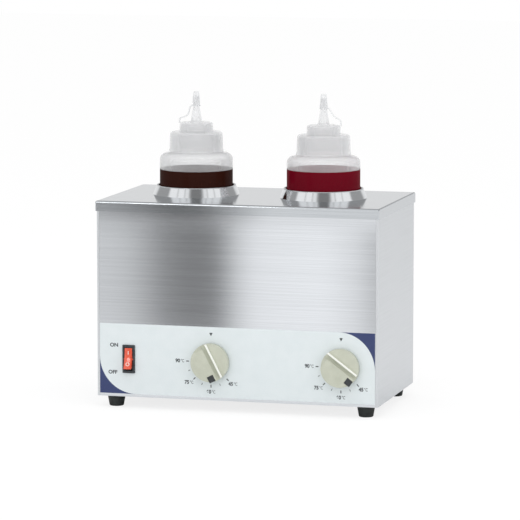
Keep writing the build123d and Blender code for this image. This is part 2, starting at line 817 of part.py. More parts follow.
CAVITY_W = ROCKER_W + 2 * ROCKER_PLAY
CAVITY_H = 2 * (hypot(ROCKER_HALF_H, ROCKER_FRONT) + ROCKER_PLAY)
CAVITY_DEEP = ROCKER_SINK + hypot(ROCKER_BACK, ROCKER_BACK_HALF_H) + 2 * ROCKER_PLAY
PIN_REACH = CAVITY_W / 2 + ROCKER_PIN_BITE


def make_switch_housing():
    """Black housing snapped into the front: bezel, body, cavity and the two pivot holes."""
    with BuildPart() as housing:
        with BuildSketch(upright(SWITCH_X, SWITCH_FACE, SWITCH_Z)):
            RectangleRounded(BEZEL_W, BEZEL_H, BEZEL_ROUND)
        extrude(amount=BEZEL_T)
        fillet(housing.faces().sort_by(Axis.Y)[0].edges(), BEZEL_ROUND)
        with BuildSketch(upright(SWITCH_X, SWITCH_FACE, SWITCH_Z)):
            Rectangle(SWITCH_BODY_W, SWITCH_BODY_H)
        extrude(amount=-SWITCH_DEPTH)
        with BuildSketch(upright(SWITCH_X, SWITCH_FACE - BEZEL_T, SWITCH_Z)):
            Rectangle(CAVITY_W, CAVITY_H)
        extrude(amount=-CAVITY_DEEP, mode=Mode.SUBTRACT)
        with BuildSketch(Plane(origin=(SWITCH_X, PIVOT_Y, SWITCH_Z), z_dir=(1, 0, 0))):
            Circle(ROCKER_PIN_R + ROCKER_PIN_PLAY)
        extrude(amount=PIN_REACH + ROCKER_PIN_PLAY, both=True, mode=Mode.SUBTRACT)
    return housing


def make_switch_rocker():
    """Red rocker with a dished face, its pivot pins at the sides; it stands switched on."""
    tilt = radians(ROCKER_TILT)
    side_plane = Plane(
        origin=(SWITCH_X, PIVOT_Y, SWITCH_Z),
        x_dir=(0, cos(tilt), -sin(tilt)),
        z_dir=(1, 0, 0),
    )
    with BuildPart() as rocker:
        with BuildSketch(side_plane):
            with BuildLine():
                ThreePointArc(
                    (-ROCKER_FRONT, ROCKER_HALF_H),
                    (-ROCKER_FRONT + ROCKER_DISH, 0),
                    (-ROCKER_FRONT, -ROCKER_HALF_H),
                )
                Polyline(
                    (-ROCKER_FRONT, -ROCKER_HALF_H),
                    (-ROCKER_SINK, -ROCKER_HALF_H + ROCKER_PLAY),
                    (ROCKER_BACK, -ROCKER_BACK_HALF_H),
                    (ROCKER_BACK, ROCKER_BACK_HALF_H),
                    (-ROCKER_SINK, ROCKER_HALF_H - ROCKER_PLAY),
                    (-ROCKER_FRONT, ROCKER_HALF_H),
                )
            make_face()
        extrude(amount=ROCKER_W / 2, both=True)
        with BuildSketch(side_plane):
            Circle(ROCKER_PIN_R)
        extrude(amount=PIN_REACH, both=True)
    return rocker


def make_switch_terminals():
    """Three flat terminals at the back of the switch."""
    with BuildPart() as blades:
        with BuildSketch(upright(SWITCH_X, SWITCH_BACK, SWITCH_Z)):
            with GridLocations(0, TERMINAL_PITCH, 1, SWITCH_POLES):
                Rectangle(BLADE_W, BLADE_T)
        extrude(amount=-BLADE_L)
    return blades


# ---------------------------------------------------------------------------
# Knobs
# ---------------------------------------------------------------------------


def make_knob(side):
    """Moulded knob: a flat block, a finger channel, a thin ridge and a falling half."""
    edge = KNOB_R + KNOB_TRIM
    floor = (CHANNEL_W, KNOB_T - CHANNEL_DEEP)
    with BuildPart() as knob:
        # Section across the ridge; its x runs away from the block and its y stands out from the panel.
        turn = knob_turn(side)
        with BuildSketch(
            Plane(
                origin=(dial_x(side), KNOB_BACK, DIAL_Z),
                x_dir=(-cos(turn), 0, sin(turn)),
                z_dir=(sin(turn), 0, cos(turn)),
            )
        ):
            with BuildLine():
                Polyline(
                    (0, KNOB_T),
                    (-edge, KNOB_T),
                    (-edge, 0),
                    (edge, 0),
                    (edge, KNOB_T - SLOPE_STEP - SLOPE_FALL),
                    (CHANNEL_W + RIDGE_W, KNOB_T - SLOPE_STEP),
                    (CHANNEL_W + RIDGE_W, KNOB_T + RIDGE_RISE),
                    (CHANNEL_W, KNOB_T + RIDGE_RISE),
                    floor,
                )
                SagittaArc(floor, (0, KNOB_T), CHANNEL_BOW)
            make_face()
        extrude(amount=edge, both=True)
        # The block ends short of the rim on the side away from the pointer.
        with BuildSketch(knob_plane(side, KNOB_FACE)):
            with Locations((-BLOCK_END - edge / 2, -edge / 2)):
                Rectangle(edge, edge)
        extrude(amount=-BLOCK_STEP, mode=Mode.SUBTRACT)
        with BuildSketch(knob_plane(side, KNOB_BACK)):
            Circle(KNOB_R)
        extrude(amount=KNOB_T + 2 * RIDGE_RISE, mode=Mode.INTERSECT)
        # Hollow back with a hub, and the bore with its flat.
        with BuildSketch(knob_plane(side, KNOB_BACK)):
            Circle(KNOB_POCKET_R)
            Circle(KNOB_HUB_R, mode=Mode.SUBTRACT)
        extrude(amount=KNOB_POCKET, mode=Mode.SUBTRACT)
        with BuildSketch(knob_plane(side, KNOB_BACK)):
            Circle(SHAFT_R + SHAFT_PLAY)
            with Locations((0, SHAFT_FLAT + SHAFT_PLAY)):
                Rectangle(
                    2 * (SHAFT_R + SHAFT_PLAY),
                    SHAFT_R,
                    align=(Align.CENTER, Align.MIN),
                    mode=Mode.SUBTRACT,
                )
        extrude(amount=KNOB_BORE, mode=Mode.SUBTRACT)
        # Seat of the pointer, open at the rim.
        seat = POINTER_W + 2 * CONTACT_PLAY
        with BuildSketch(knob_plane(side, KNOB_FACE)):
            with Locations((POINTER_U, -POINTER_V)):
                Rectangle(seat, seat)
        extrude(amount=-POINTER_SINK, mode=Mode.SUBTRACT)
    return knob


def make_knob_pointer(side):
    """Square black insert in the knob's face that points at the scale."""
    with BuildPart() as pointer:
        with BuildSketch(knob_plane(side, KNOB_FACE + POINTER_SINK)):
            with Locations((POINTER_U, -POINTER_V)):
                Rectangle(POINTER_W, POINTER_W)
        extrude(amount=POINTER_T)
        fillet(pointer.faces().sort_by(Axis.Y)[0].edges(), SLOPE_STEP)
    return pointer


# ---------------------------------------------------------------------------
# Feet and fasteners
# ---------------------------------------------------------------------------


def make_foot(depth_side, side):
    """Tapered rubber foot, bored from below for its washer and screw."""
    x = side * (SIDE - FOOT_INSET)
    y = CASE_Y + depth_side * (CASE_D / 2 - FOOT_INSET)
    with BuildPart() as foot:
        with BuildSketch(upright(x, y, 0)):
            with BuildLine():
                FilletPolyline(
                    (0, 0),
                    (FOOT_TOE_R, 0),
                    (FOOT_TOP_R, FOOT_H),
                    (0, FOOT_H),
                    (0, 0),
                    radius=(0, FOOT_TOE_ROUND, 0, 0),
                )
            make_face()
        revolve(axis=Axis((x, y, 0), (0, 0, 1)))
        with BuildSketch(level(x, y, 0)):
            Circle(FOOT_BORE_R)
        extrude(amount=FOOT_BORE_DEEP, mode=Mode.SUBTRACT)
        with BuildSketch(level(x, y, 0)):
            Circle(SCREW_R + SCREW_PLAY)
        extrude(amount=FOOT_H, mode=Mode.SUBTRACT)
    return foot


def make_foot_washers():
    """Steel washer in the bore of each foot."""
    with BuildPart() as washers:
        with BuildSketch(level(0, CASE_Y, FOOT_BORE_DEEP - WASHER_T)):
            with foot_spots():
                Circle(WASHER_R)
                Circle(SCREW_R + SCREW_PLAY, mode=Mode.SUBTRACT)
        extrude(amount=WASHER_T)
    return washers


def make_foot_screws():
    """Pan-head screw up through each foot and the tray."""
    seat = FOOT_BORE_DEEP - WASHER_T
    with BuildPart() as screws:
        with BuildSketch(level(0, CASE_Y, seat - SCREW_HEAD_T)):
            with foot_spots():
                Circle(SCREW_HEAD_R)
        extrude(amount=SCREW_HEAD_T)
        with BuildSketch(level(0, CASE_Y, seat)):
            with foot_spots():
                Circle(SCREW_R)
        extrude(amount=TRAY_TOP + NUT_T + SCREW_R - seat)
    return screws


def make_foot_nuts():
    """Nut on each foot's screw, on the tray."""
    with BuildPart() as nuts:
        with BuildSketch(level(0, CASE_Y, TRAY_TOP)):
            with foot_spots():
                RegularPolygon(NUT_R, HEX_SIDES)
                Circle(SCREW_R + SHAFT_PLAY, mode=Mode.SUBTRACT)
        extrude(amount=NUT_T)
    return nuts


def make_rear_screws():
    """Screws that hold the rear panel to the laps of the side panels."""
    spots = rear_screw_spots(-1) + rear_screw_spots(1)
    with BuildPart() as screws:
        with BuildSketch(upright(0, BACK + SCREW_HEAD_T, 0)):
            with Locations(*spots):
                Circle(SCREW_HEAD_R)
        extrude(amount=SCREW_HEAD_T)
        with BuildSketch(upright(0, BACK, 0)):
            with Locations(*spots):
                Circle(SCREW_R)
        extrude(amount=2 * SHEET + SCREW_GRIP)
        fillet(screws.faces().sort_by(Axis.Y)[-len(spots):].edges(), SCREW_HEAD_ROUND)
    return screws


def make_lid_screws():
    """Screws through the lid's rear lip into the rear panel."""
    lip_face = BACK + LID_OVERHANG
    spots = lid_screw_spots()
    with BuildPart() as screws:
        with BuildSketch(upright(0, lip_face + SCREW_HEAD_T, 0)):
            with Locations(*spots):
                Circle(SCREW_HEAD_R)
        extrude(amount=SCREW_HEAD_T)
        with BuildSketch(upright(0, lip_face, 0)):
            with Locations(*spots):
                Circle(SCREW_R)
        extrude(amount=LID_OVERHANG + SHEET + SCREW_GRIP)
        fillet(screws.faces().sort_by(Axis.Y)[-len(spots):].edges(), SCREW_HEAD_ROUND)
    return screws


# ---------------------------------------------------------------------------
# Mains entry
# ---------------------------------------------------------------------------


def make_cable_gland():
    """Gland in the rear panel: bored body, hexagon outside and a rounded nose."""
    z = CASE_BOTTOM + GLAND_LIFT
    with BuildPart() as gland:
        with BuildSketch(upright(GLAND_X, BACK + GLAND_HEX_T, z)):
            RegularPolygon(GLAND_HEX / 2, HEX_SIDES, major_radius=False)
        extrude(amount=GLAND_HEX_T)
        with BuildSketch(upright(GLAND_X, BACK + GLAND_HEX_T + GLAND_NOSE_L, z)):
            Circle(GLAND_NOSE_R)
        extrude(amount=GLAND_NOSE_L)
        fillet(gland.faces().sort_by(Axis.Y)[-1].edges(), GLAND_NOSE_ROUND)
        with BuildSketch(upright(GLAND_X, BACK, z)):
            Circle(GLAND_THREAD_R)
        extrude(amount=SHEET + GLAND_TAIL)
        with BuildSketch(upright(GLAND_X, BACK + GLAND_REACH, z)):
            Circle(GLAND_BORE_R)
        extrude(amount=GLAND_REACH + SHEET + GLAND_TAIL, mode=Mode.SUBTRACT)
    return gland


def make_gland_nut():
    """Locknut of the gland, inside the rear panel."""
    with BuildPart() as nut:
        with BuildSketch(upright(GLAND_X, BACK - SHEET, CASE_BOTTOM + GLAND_LIFT)):
            RegularPolygon(GLAND_HEX / 2, HEX_SIDES, major_radius=False)
            Circle(GLAND_THREAD_R + CONTACT_PLAY, mode=Mode.SUBTRACT)
        extrude(amount=GLAND_NUT_T)
    return nut


def make_terminal_block():
    """Ceramic block on the tray where the supply meets the inner wiring."""
    with BuildPart() as block:
        with BuildSketch(level(BLOCK_X, BLOCK_Y, TRAY_TOP)):
            RectangleRounded(BLOCK_W, BLOCK_D, BEND_R)
        extrude(amount=BLOCK_H)
        with BuildSketch(upright(BLOCK_X, BLOCK_Y + BLOCK_D / 2, TRAY_TOP + BLOCK_H / 2)):
            with GridLocations(BLOCK_W / BLOCK_POLES, 0, BLOCK_POLES, 1):
                Circle(BLOCK_POLE_R)
        extrude(amount=BLOCK_D, mode=Mode.SUBTRACT)
    return block


def make_earth_stud():
    """Earth screw on the tray with its nut."""
    with BuildPart() as stud:
        with BuildSketch(level(EARTH_X, EARTH_Y, TRAY_TOP)):
            Circle(SCREW_R)
        extrude(amount=EARTH_L)
        with BuildSketch(level(EARTH_X, EARTH_Y, TRAY_TOP)):
            RegularPolygon(NUT_R, HEX_SIDES)
        extrude(amount=NUT_T)
    return stud


def wire_routes():
    """Corner points of each wire, from one terminal to the other."""
    switch_y = SWITCH_BACK + BLADE_L
    stat_y = STAT_BACK + BLADE_L
    lane = TRAY_TOP + BLOCK_H / 2
    block_face = BLOCK_Y - BLOCK_D / 2
    pole_step = BLOCK_W / BLOCK_POLES
    low_y = switch_y + WIRE_OUT
    routes = [
        # switch to terminal block
        [
            (SWITCH_X, switch_y, SWITCH_Z - TERMINAL_PITCH),
            (SWITCH_X, low_y, SWITCH_Z - TERMINAL_PITCH),
            (SWITCH_X, low_y, lane),
            (BLOCK_X, low_y, lane),
            (BLOCK_X, block_face, lane),
        ]
    ]
    for turn, (_, side) in enumerate(SIDES, start=1):
        # switch to thermostat
        run_y = low_y + turn * WIRE_STEP
        run_z = lane + turn * WIRE_LANE_STEP
        blade_z = SWITCH_Z + (turn - 1) * TERMINAL_PITCH
        stat_x = dial_x(side) - TERMINAL_PITCH
        routes.append(
            [
                (SWITCH_X, switch_y, blade_z),
                (SWITCH_X, run_y, blade_z),
                (SWITCH_X, run_y, run_z),
                (stat_x, run_y, run_z),
                (stat_x, run_y, DIAL_Z),
                (stat_x, stat_y, DIAL_Z),
            ]
        )
        # thermostat to cut-out
        cutout_z = WELL_FLOOR - WELL_WALL - CUTOUT_H - BLADE_L
        under_z = cutout_z - WIRE_DROP
        stat_x = dial_x(side) + TERMINAL_PITCH
        cutout_x = side * WELL_X - TERMINAL_PITCH / 2
        turn_y = stat_y + WIRE_REACH
        routes.append(
            [
                (stat_x, stat_y, DIAL_Z),
                (stat_x, turn_y, DIAL_Z),
                (cutout_x, turn_y + WIRE_STEP, under_z),
                (cutout_x, WELL_Y, under_z),
                (cutout_x, WELL_Y, cutout_z),
            ]
        )
        # cut-out to the heater's lower post
        way = Vector(cos(radians(POST_AT)), sin(radians(POST_AT)), 0)
        well = Vector(side * WELL_X, WELL_Y, 0)
        tip = well + way * (BAND_OUT_R + CONTACT_PLAY + POST_L)
        near = tip + way * 2 * WIRE_BEND
        cutout_x = side * WELL_X + TERMINAL_PITCH / 2
        low_post = BAND_Z + POST_INSET
        routes.append(
            [
                (cutout_x, WELL_Y, cutout_z),
                (cutout_x, WELL_Y, under_z),
                (near.X, near.Y, under_z),
                (near.X, near.Y, low_post),
                (tip.X, tip.Y, low_post),
            ]
        )
        # heater's upper post to terminal block
        high_post = BAND_Z + BAND_H - POST_INSET
        far = near + way * WIRE_STEP
        pole_x = BLOCK_X + side * pole_step
        routes.append(
            [
                (tip.X, tip.Y, high_post),
                (far.X, far.Y, high_post),
                (far.X, far.Y, lane),
                (pole_x, far.Y, lane),
                (pole_x, block_face, lane),
            ]
        )
    return routes


def make_wiring_loom():
    """Insulated wires between switch, thermostats, cut-outs, heaters and terminal block."""
    with BuildPart() as loom:
        for corners in wire_routes():
            with BuildLine() as route:
                FilletPolyline(*corners, radius=WIRE_BEND)
            with BuildSketch(Plane(origin=route.line @ 0, z_dir=route.line % 0)):
                Circle(WIRE_R)
            sweep(path=route.line)
    return loom


# ---------------------------------------------------------------------------
# Bottles with their caps
# ---------------------------------------------------------------------------


def thread_ring_spots(radius, first, outward):
    """Middles of the plain rings that stand for a thread on a wall of this radius."""
    reach = (THREAD_DEEP - THREAD_ROOT) / 2
    middle = radius + (reach if outward else -reach)
    return [(middle, first + turn * THREAD_PITCH) for turn in range(THREADS)]


def make_bottle(side):
    """Blown bottle: straight body, rounded shoulder and a wide threaded neck."""
    with BuildPart() as bottle:
        with BuildSketch(upright(side * WELL_X, WELL_Y, 0)):
            with BuildLine():
                FilletPolyline(
                    (0, BOTTLE_BASE),
                    (BOTTLE_R, BOTTLE_BASE),
                    (BOTTLE_R, SHOULDER_Z),
                    (NECK_R, NECK_BASE),
                    (NECK_R, NECK_TOP),
                    (0, NECK_TOP),
                    (0, BOTTLE_BASE),
                    radius=(0, BOTTLE_FOOT_R, SHOULDER_R, BOTTLE_WALL, 0, 0),
                )
            make_face()
        revolve(axis=well_axis(side))
        offset(amount=-BOTTLE_WALL, openings=bottle.faces().sort_by(Axis.Z)[-1])
        rings = thread_ring_spots(NECK_R, NECK_TOP - THREADS * THREAD_PITCH, True)
        with BuildSketch(upright(side * WELL_X, WELL_Y, 0)):
            with Locations(*rings):
                Rectangle(THREAD_DEEP + THREAD_ROOT, THREAD_TALL)
        revolve(axis=well_axis(side))
    return bottle


def make_sauce(side):
    """Topping that fills the bottle to its level."""
    radius = BOTTLE_R - BOTTLE_WALL - SAUCE_PLAY
    floor = BOTTLE_BASE + BOTTLE_WALL + SAUCE_PLAY
    surface = SHOULDER_Z - (HEADSPACE_LEFT if side < 0 else HEADSPACE_RIGHT)
    with BuildPart() as sauce:
        with BuildSketch(upright(side * WELL_X, WELL_Y, 0)):
            with BuildLine():
                FilletPolyline(
                    (0, floor),
                    (radius, floor),
                    (radius, surface),
                    (0, surface),
                    (0, floor),
                    radius=(0, BOTTLE_FOOT_R, 0, 0),
                )
            make_face()
        revolve(axis=well_axis(side))
    return sauce


def make_bottle_cap(side):
    """Wide screw cap with a threaded port in the middle of its top."""
    port_in = PORT_R - PORT_WALL
    with BuildPart() as cap:
        with BuildSketch(upright(side * WELL_X, WELL_Y, 0)):
            with BuildLine():
                FilletPolyline(
                    (CAP_BORE_R, CAP_MOUTH),
                    (CAP_MOUTH_R + CAP_BEAD, CAP_MOUTH),
                    (CAP_MOUTH_R + CAP_BEAD, CAP_MOUTH + CAP_BEAD_H),
                    (CAP_MOUTH_R, CAP_MOUTH + CAP_BEAD_H),
                    (CAP_TOP_R, CAP_TOP),
                    (PORT_R, CAP_TOP),
                    (PORT_R, PORT_TOP),
                    (port_in, PORT_TOP),
                    (port_in, CAP_CEILING),
                    (CAP_BORE_R, CAP_CEILING),
                    (CAP_BORE_R, CAP_MOUTH),
                    radius=(0, 0, 0, 0, CAP_ROUND, 0, 0, 0, 0, 0),
                )
            make_face()
        revolve(axis=well_axis(side))
        first = NECK_TOP - THREADS * THREAD_PITCH + THREAD_PITCH / 2
        rings = thread_ring_spots(CAP_BORE_R, first, False)
        port_step = PORT_H / (PORT_THREADS + 1)
        port_rings = [(PORT_R, CAP_TOP + (turn + 1) * port_step) for turn in range(PORT_THREADS)]
        with BuildSketch(upright(side * WELL_X, WELL_Y, 0)):
            with Locations(*rings):
                Rectangle(THREAD_DEEP + THREAD_ROOT, THREAD_TALL)
            with Locations(*port_rings):
                Rectangle(2 * PORT_THREAD, THREAD_TALL)
        revolve(axis=well_axis(side))
    return cap


def make_nozzle(side):
    """Nozzle cap: a short screw cap that runs up into a hollow cone."""
    bore = NOZZLE_CAP_R - NOZZLE_CAP_WALL
    ceiling = NOZZLE_TOP - NOZZLE_CAP_WALL
    throat = CONE_BASE_R - CONE_WALL
    with BuildPart() as nozzle:
        with BuildSketch(upright(side * WELL_X, WELL_Y, 0)):
            with BuildLine():
                FilletPolyline(
                    (bore, NOZZLE_MOUTH),
                    (NOZZLE_CAP_R, NOZZLE_MOUTH),
                    (NOZZLE_CAP_R, NOZZLE_TOP),
                    (CONE_BASE_R + CONE_FLARE, NOZZLE_TOP),
                    (CONE_BASE_R, CONE_FOOT),
                    (CONE_MID_R, CONE_MID),
                    (CONE_TIP_R, CONE_TIP),
                    (CONE_BORE_R, CONE_TIP),
                    (CONE_MID_R - CONE_WALL, CONE_MID),
                    (throat, CONE_FOOT),
                    (throat, ceiling),
                    (bore, ceiling),
                    (bore, NOZZLE_MOUTH),
                    radius=(0, 0, NOZZLE_CAP_ROUND, CONE_FILLET, 0, 0, 0, 0, 0, 0, 0, 0),
                )
            make_face()
        revolve(axis=well_axis(side))
    return nozzle


def make_tip_cover(side):
    """Little cover over the nozzle's tip, with a bead round its mouth."""
    slope = (CONE_MID_R - CONE_TIP_R) / CONE_TIP_H
    mouth_in = CONE_TIP_R + slope * TIP_LAP + TIP_MOUTH_PLAY
    end_in = CONE_TIP_R + TIP_PLAY
    ceiling = CONE_TIP + TIP_PLAY
    with BuildPart() as cover:
        with BuildSketch(upright(side * WELL_X, WELL_Y, 0)):
            with BuildLine():
                Polyline(
                    (mouth_in, TIP_MOUTH),
                    (TIP_BEAD_R, TIP_MOUTH),
                    (TIP_BEAD_R, TIP_MOUTH + TIP_BEAD_H),
                    (mouth_in + TIP_WALL, TIP_MOUTH + TIP_BEAD_H),
                    (TIP_TOP_R, TIP_TOP - TIP_STEP_H),
                    (TIP_TOP_R - TIP_STEP, TIP_TOP - TIP_STEP_H),
                    (TIP_TOP_R - TIP_STEP, TIP_TOP),
                    (0, TIP_TOP),
                    (0, ceiling),
                    (end_in, ceiling),
                    close=True,
                )
            make_face()
        revolve(axis=well_axis(side))
    return cover


def make_tether(side):
    """Moulded strap from the tip cover's bead down to the edge of the nozzle cap."""
    root_r = TIP_BEAD_R + CONTACT_PLAY
    root_z = TIP_MOUTH + TIP_BEAD_H / 2
    turn_r = root_r + STRAP_STEP
    hook_r = NOZZLE_CAP_R + CONTACT_PLAY + STRAP_T / 2
    hook_z = NOZZLE_TOP - NOZZLE_CAP_ROUND
    over_z = NOZZLE_TOP + 2 * STRAP_T
    with BuildPart() as strap:
        with BuildLine(upright(side * WELL_X, WELL_Y, 0)) as route:
            FilletPolyline(
                (side * root_r, root_z),
                (side * turn_r, root_z),
                (side * (turn_r + STRAP_FALL_X), over_z + STRAP_W),
                (side * (turn_r + STRAP_FALL_X + STRAP_LEVEL_X), over_z),
                (side * hook_r, over_z),
                (side * hook_r, hook_z),
                radius=STRAP_BEND,
            )
        with BuildSketch(Plane(origin=route.line @ 0, x_dir=(0, 1, 0), z_dir=route.line % 0)):
            Rectangle(STRAP_W, STRAP_T)
        sweep(path=route.line)
    return strap


# ---------------------------------------------------------------------------
# Making every piece
# ---------------------------------------------------------------------------

os.makedirs("parts", exist_ok=True)

save(make_base_tray(), "base_tray")
save(make_front_panel(), "front_panel")
save(make_rear_panel(), "rear_panel")
save(make_lid_plate(), "lid_plate")
save(make_control_overlay(), "control_overlay")
save(make_clamp_bolts(), "heater_clamp_bolts")
save(make_heater_terminals(), "heater_terminals")
save(make_thermostat_screws(), "thermostat_screws")
save(make_bulb_clips(), "bulb_clips")
save(make_overheat_cutouts(), "overheat_cutouts")
save(make_switch_housing(), "switch_housing")
save(make_switch_rocker(), "switch_rocker")
save(make_switch_terminals(), "switch_terminals")
save(make_foot_washers(), "foot_washers")
save(make_foot_screws(), "foot_screws")
save(make_foot_nuts(), "foot_nuts")
save(make_rear_screws(), "rear_panel_screws")
save(make_lid_screws(), "lid_screws")
save(make_cable_gland(), "cable_gland")
save(make_gland_nut(), "gland_nut")
save(make_terminal_block(), "terminal_block")
save(make_earth_stud(), "earth_stud")
save(make_wiring_loom(), "wiring_loom")

PAIRED = (
    ("side_panel", make_side_panel),
    ("collar_ring", make_collar_ring),
    ("well_pot", make_well_pot),
    ("band_heater", make_band_heater),
    ("insulation", make_insulation),
    ("thermostat_body", make_thermostat_body),
    ("thermostat_shaft", make_thermostat_shaft),
    ("capillary", make_capillary),
    ("knob", make_knob),
    ("knob_pointer", make_knob_pointer),
    ("bottle", make_bottle),
    ("sauce", make_sauce),
    ("bottle_cap", make_bottle_cap),
    ("nozzle", make_nozzle),
    ("tip_cover", make_tip_cover),
    ("tether", make_tether),
)
for hand, side in SIDES:
    for name, make in PAIRED:
        save(make(side), f"{name}_{hand}")
    for depth, depth_side in (("front", -1), ("rear", 1)):
        save(make_foot(depth_side, side), f"foot_{depth}_{hand}")
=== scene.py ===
"""Looks of the two-well bottle warmer: a stainless cabinet with two heated wells, and a squeeze
bottle of topping in each. All places are in metres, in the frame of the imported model."""
import json
from math import cos, pi, radians, sin

import bpy
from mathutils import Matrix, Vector

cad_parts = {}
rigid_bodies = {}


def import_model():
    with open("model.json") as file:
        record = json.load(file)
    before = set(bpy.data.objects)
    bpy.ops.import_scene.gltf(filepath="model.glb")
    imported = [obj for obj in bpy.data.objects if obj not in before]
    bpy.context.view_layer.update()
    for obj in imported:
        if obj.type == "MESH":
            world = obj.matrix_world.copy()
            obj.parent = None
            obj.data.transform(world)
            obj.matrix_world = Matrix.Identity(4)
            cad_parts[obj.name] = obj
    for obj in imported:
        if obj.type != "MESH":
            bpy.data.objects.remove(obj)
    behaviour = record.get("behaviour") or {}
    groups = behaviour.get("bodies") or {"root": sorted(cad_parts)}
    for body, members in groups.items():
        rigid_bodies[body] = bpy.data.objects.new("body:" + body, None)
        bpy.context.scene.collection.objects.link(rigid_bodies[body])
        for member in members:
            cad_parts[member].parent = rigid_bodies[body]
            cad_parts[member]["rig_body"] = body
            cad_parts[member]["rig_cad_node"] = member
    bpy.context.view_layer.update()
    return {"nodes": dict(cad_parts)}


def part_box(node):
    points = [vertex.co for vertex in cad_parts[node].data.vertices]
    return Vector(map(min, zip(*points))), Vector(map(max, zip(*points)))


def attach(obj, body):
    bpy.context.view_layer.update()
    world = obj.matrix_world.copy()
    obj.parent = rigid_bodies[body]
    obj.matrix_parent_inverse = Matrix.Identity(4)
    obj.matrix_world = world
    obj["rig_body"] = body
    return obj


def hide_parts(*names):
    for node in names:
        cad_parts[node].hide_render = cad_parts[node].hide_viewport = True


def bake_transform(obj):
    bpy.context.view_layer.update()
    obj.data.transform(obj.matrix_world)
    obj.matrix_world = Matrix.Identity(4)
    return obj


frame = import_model()

# ---------------------------------------------------------------------------
# Studio: a white table under soft light. The camera stands a little to the
# right of the front and looks slightly down, from about four metres, with a
# long lens. Nothing here belongs to the object.
# ---------------------------------------------------------------------------

CAMERA_PLACE = (1.0188, -3.7690, 0.6631)
CAMERA_TURN = 0.2634  # radians to the right of the front
CAMERA_DIP = 0.1285  # radians below level
CAMERA_LENS = 243.2
CAMERA_REACH = 30

bpy.ops.object.select_all(action="DESELECT")
bpy.ops.object.camera_add(location=CAMERA_PLACE, rotation=(pi / 2 - CAMERA_DIP, 0, CAMERA_TURN))
camera = bpy.context.object
camera.data.lens = CAMERA_LENS
camera.data.clip_end = CAMERA_REACH
camera.data.dof.use_dof = False
bpy.context.scene.camera = camera
bpy.context.scene.view_settings.view_transform = "Standard"


def linear(code):
    """Linear colour of an sRGB hex value."""
    channels = [int(code[i : i + 2], 16) / 255 for i in (1, 3, 5)]
    return (*[c / 12.92 if c <= 0.04045 else ((c + 0.055) / 1.055) ** 2.4 for c in channels], 1)


def add(tree, kind, inputs=None, stops=(), **settings):
    """Add a node; inputs take a value or another node's output.

    Stops are the greys of a colour ramp, each with its place from 0 to 1 and its shade.
    """
    node = tree.nodes.new("ShaderNode" + kind)
    for name, value in settings.items():
        setattr(node, name, value)
    while stops and len(node.color_ramp.elements) < len(stops):
        node.color_ramp.elements.new(0.5)
    for number, (at, shade) in enumerate(stops):
        node.color_ramp.elements[number].position = at
        node.color_ramp.elements[number].color = (shade, shade, shade, 1)
    for name, value in (inputs or {}).items():
        if isinstance(value, bpy.types.NodeSocket):
            tree.links.new(value, node.inputs[name])
        else:
            node.inputs[name].default_value = value
    return node


def seen_by_eye(tree, rays):
    """1 for what the camera sees, also through a clear piece."""
    parts = {0: rays.outputs["Is Camera Ray"], 1: rays.outputs["Is Transmission Ray"]}
    return add(tree, "Math", parts, operation="MAXIMUM").outputs[0]


WHITE = (1, 1, 1, 1)
STUDIO_GLOW = 0.86
LOW_SHADE = 0.84  # what metal mirrors near the table's height
ROOM_FROM = 0.16  # sine of the height at which the room's own shades begin
ROOM_TO = 0.26
CAMERA_WAY = (sin(CAMERA_TURN), -cos(CAMERA_TURN), 0)
# Shades of the room, from straight behind the object at 0 to behind the camera at 1.
SIDE_BOXES = (
    (0.50, 0.36),
    (0.56, 0.95),
    (0.74, 0.95),
    (0.76, 0.55),
    (0.785, 0.95),
    (0.89, 0.95),
    (0.905, 0.50),
    (0.92, 0.90),
    (0.955, 0.85),
    (0.966, 0.50),
    (0.985, 0.22),
)

# Pale all round at table height. Higher up, polished metal shows a softbox on either side with
# dark gaps in it, and the darker room behind the camera.
world = bpy.data.worlds.new("studio")
bpy.context.scene.world = world
world.use_nodes = True
tree = world.node_tree
tree.nodes.clear()
way = add(tree, "TexCoord").outputs["Generated"]
height = add(tree, "SeparateXYZ", {0: way}).outputs["Z"]
high = add(
    tree,
    "MapRange",
    {"Value": height, "From Min": ROOM_FROM, "From Max": ROOM_TO},
    interpolation_type="SMOOTHSTEP",
)
flat_way = add(tree, "VectorMath", {0: way, 1: (1, 1, 0)}, operation="MULTIPLY")
heading = add(tree, "VectorMath", {0: flat_way.outputs[0]}, operation="NORMALIZE")
toward = add(tree, "VectorMath", {0: heading.outputs[0], 1: CAMERA_WAY}, operation="DOT_PRODUCT")
place = add(tree, "MapRange", {"Value": toward.outputs["Value"], "From Min": -1.0})
boxes = add(tree, "ValToRGB", {"Fac": place.outputs[0]}, stops=SIDE_BOXES).outputs[0]
round_about = add(tree, "Mix", {0: high.outputs[0], 2: LOW_SHADE, 3: boxes}, data_type="FLOAT")
rays = add(tree, "LightPath")
plain = add(tree, "Background", {"Color": WHITE, "Strength": STUDIO_GLOW})
shaped = add(tree, "Background", {"Color": WHITE, "Strength": round_about.outputs[0]})
white = add(tree, "Background", {"Color": WHITE, "Strength": 1.0})
glossy = rays.outputs["Is Glossy Ray"]
lit = add(tree, "MixShader", {0: glossy, 1: plain.outputs[0], 2: shaped.outputs[0]})
seen = add(tree, "MixShader", {0: seen_by_eye(tree, rays), 1: lit.outputs[0], 2: white.outputs[0]})
add(tree, "OutputWorld", {"Surface": seen.outputs[0]})

# The table is matt white: it shows white to the eye, with a faint shadow under the object.
TABLE_SIZE = 14.0
TABLE_WHITE = 1.05
SHADOW_SHARE = 0.24

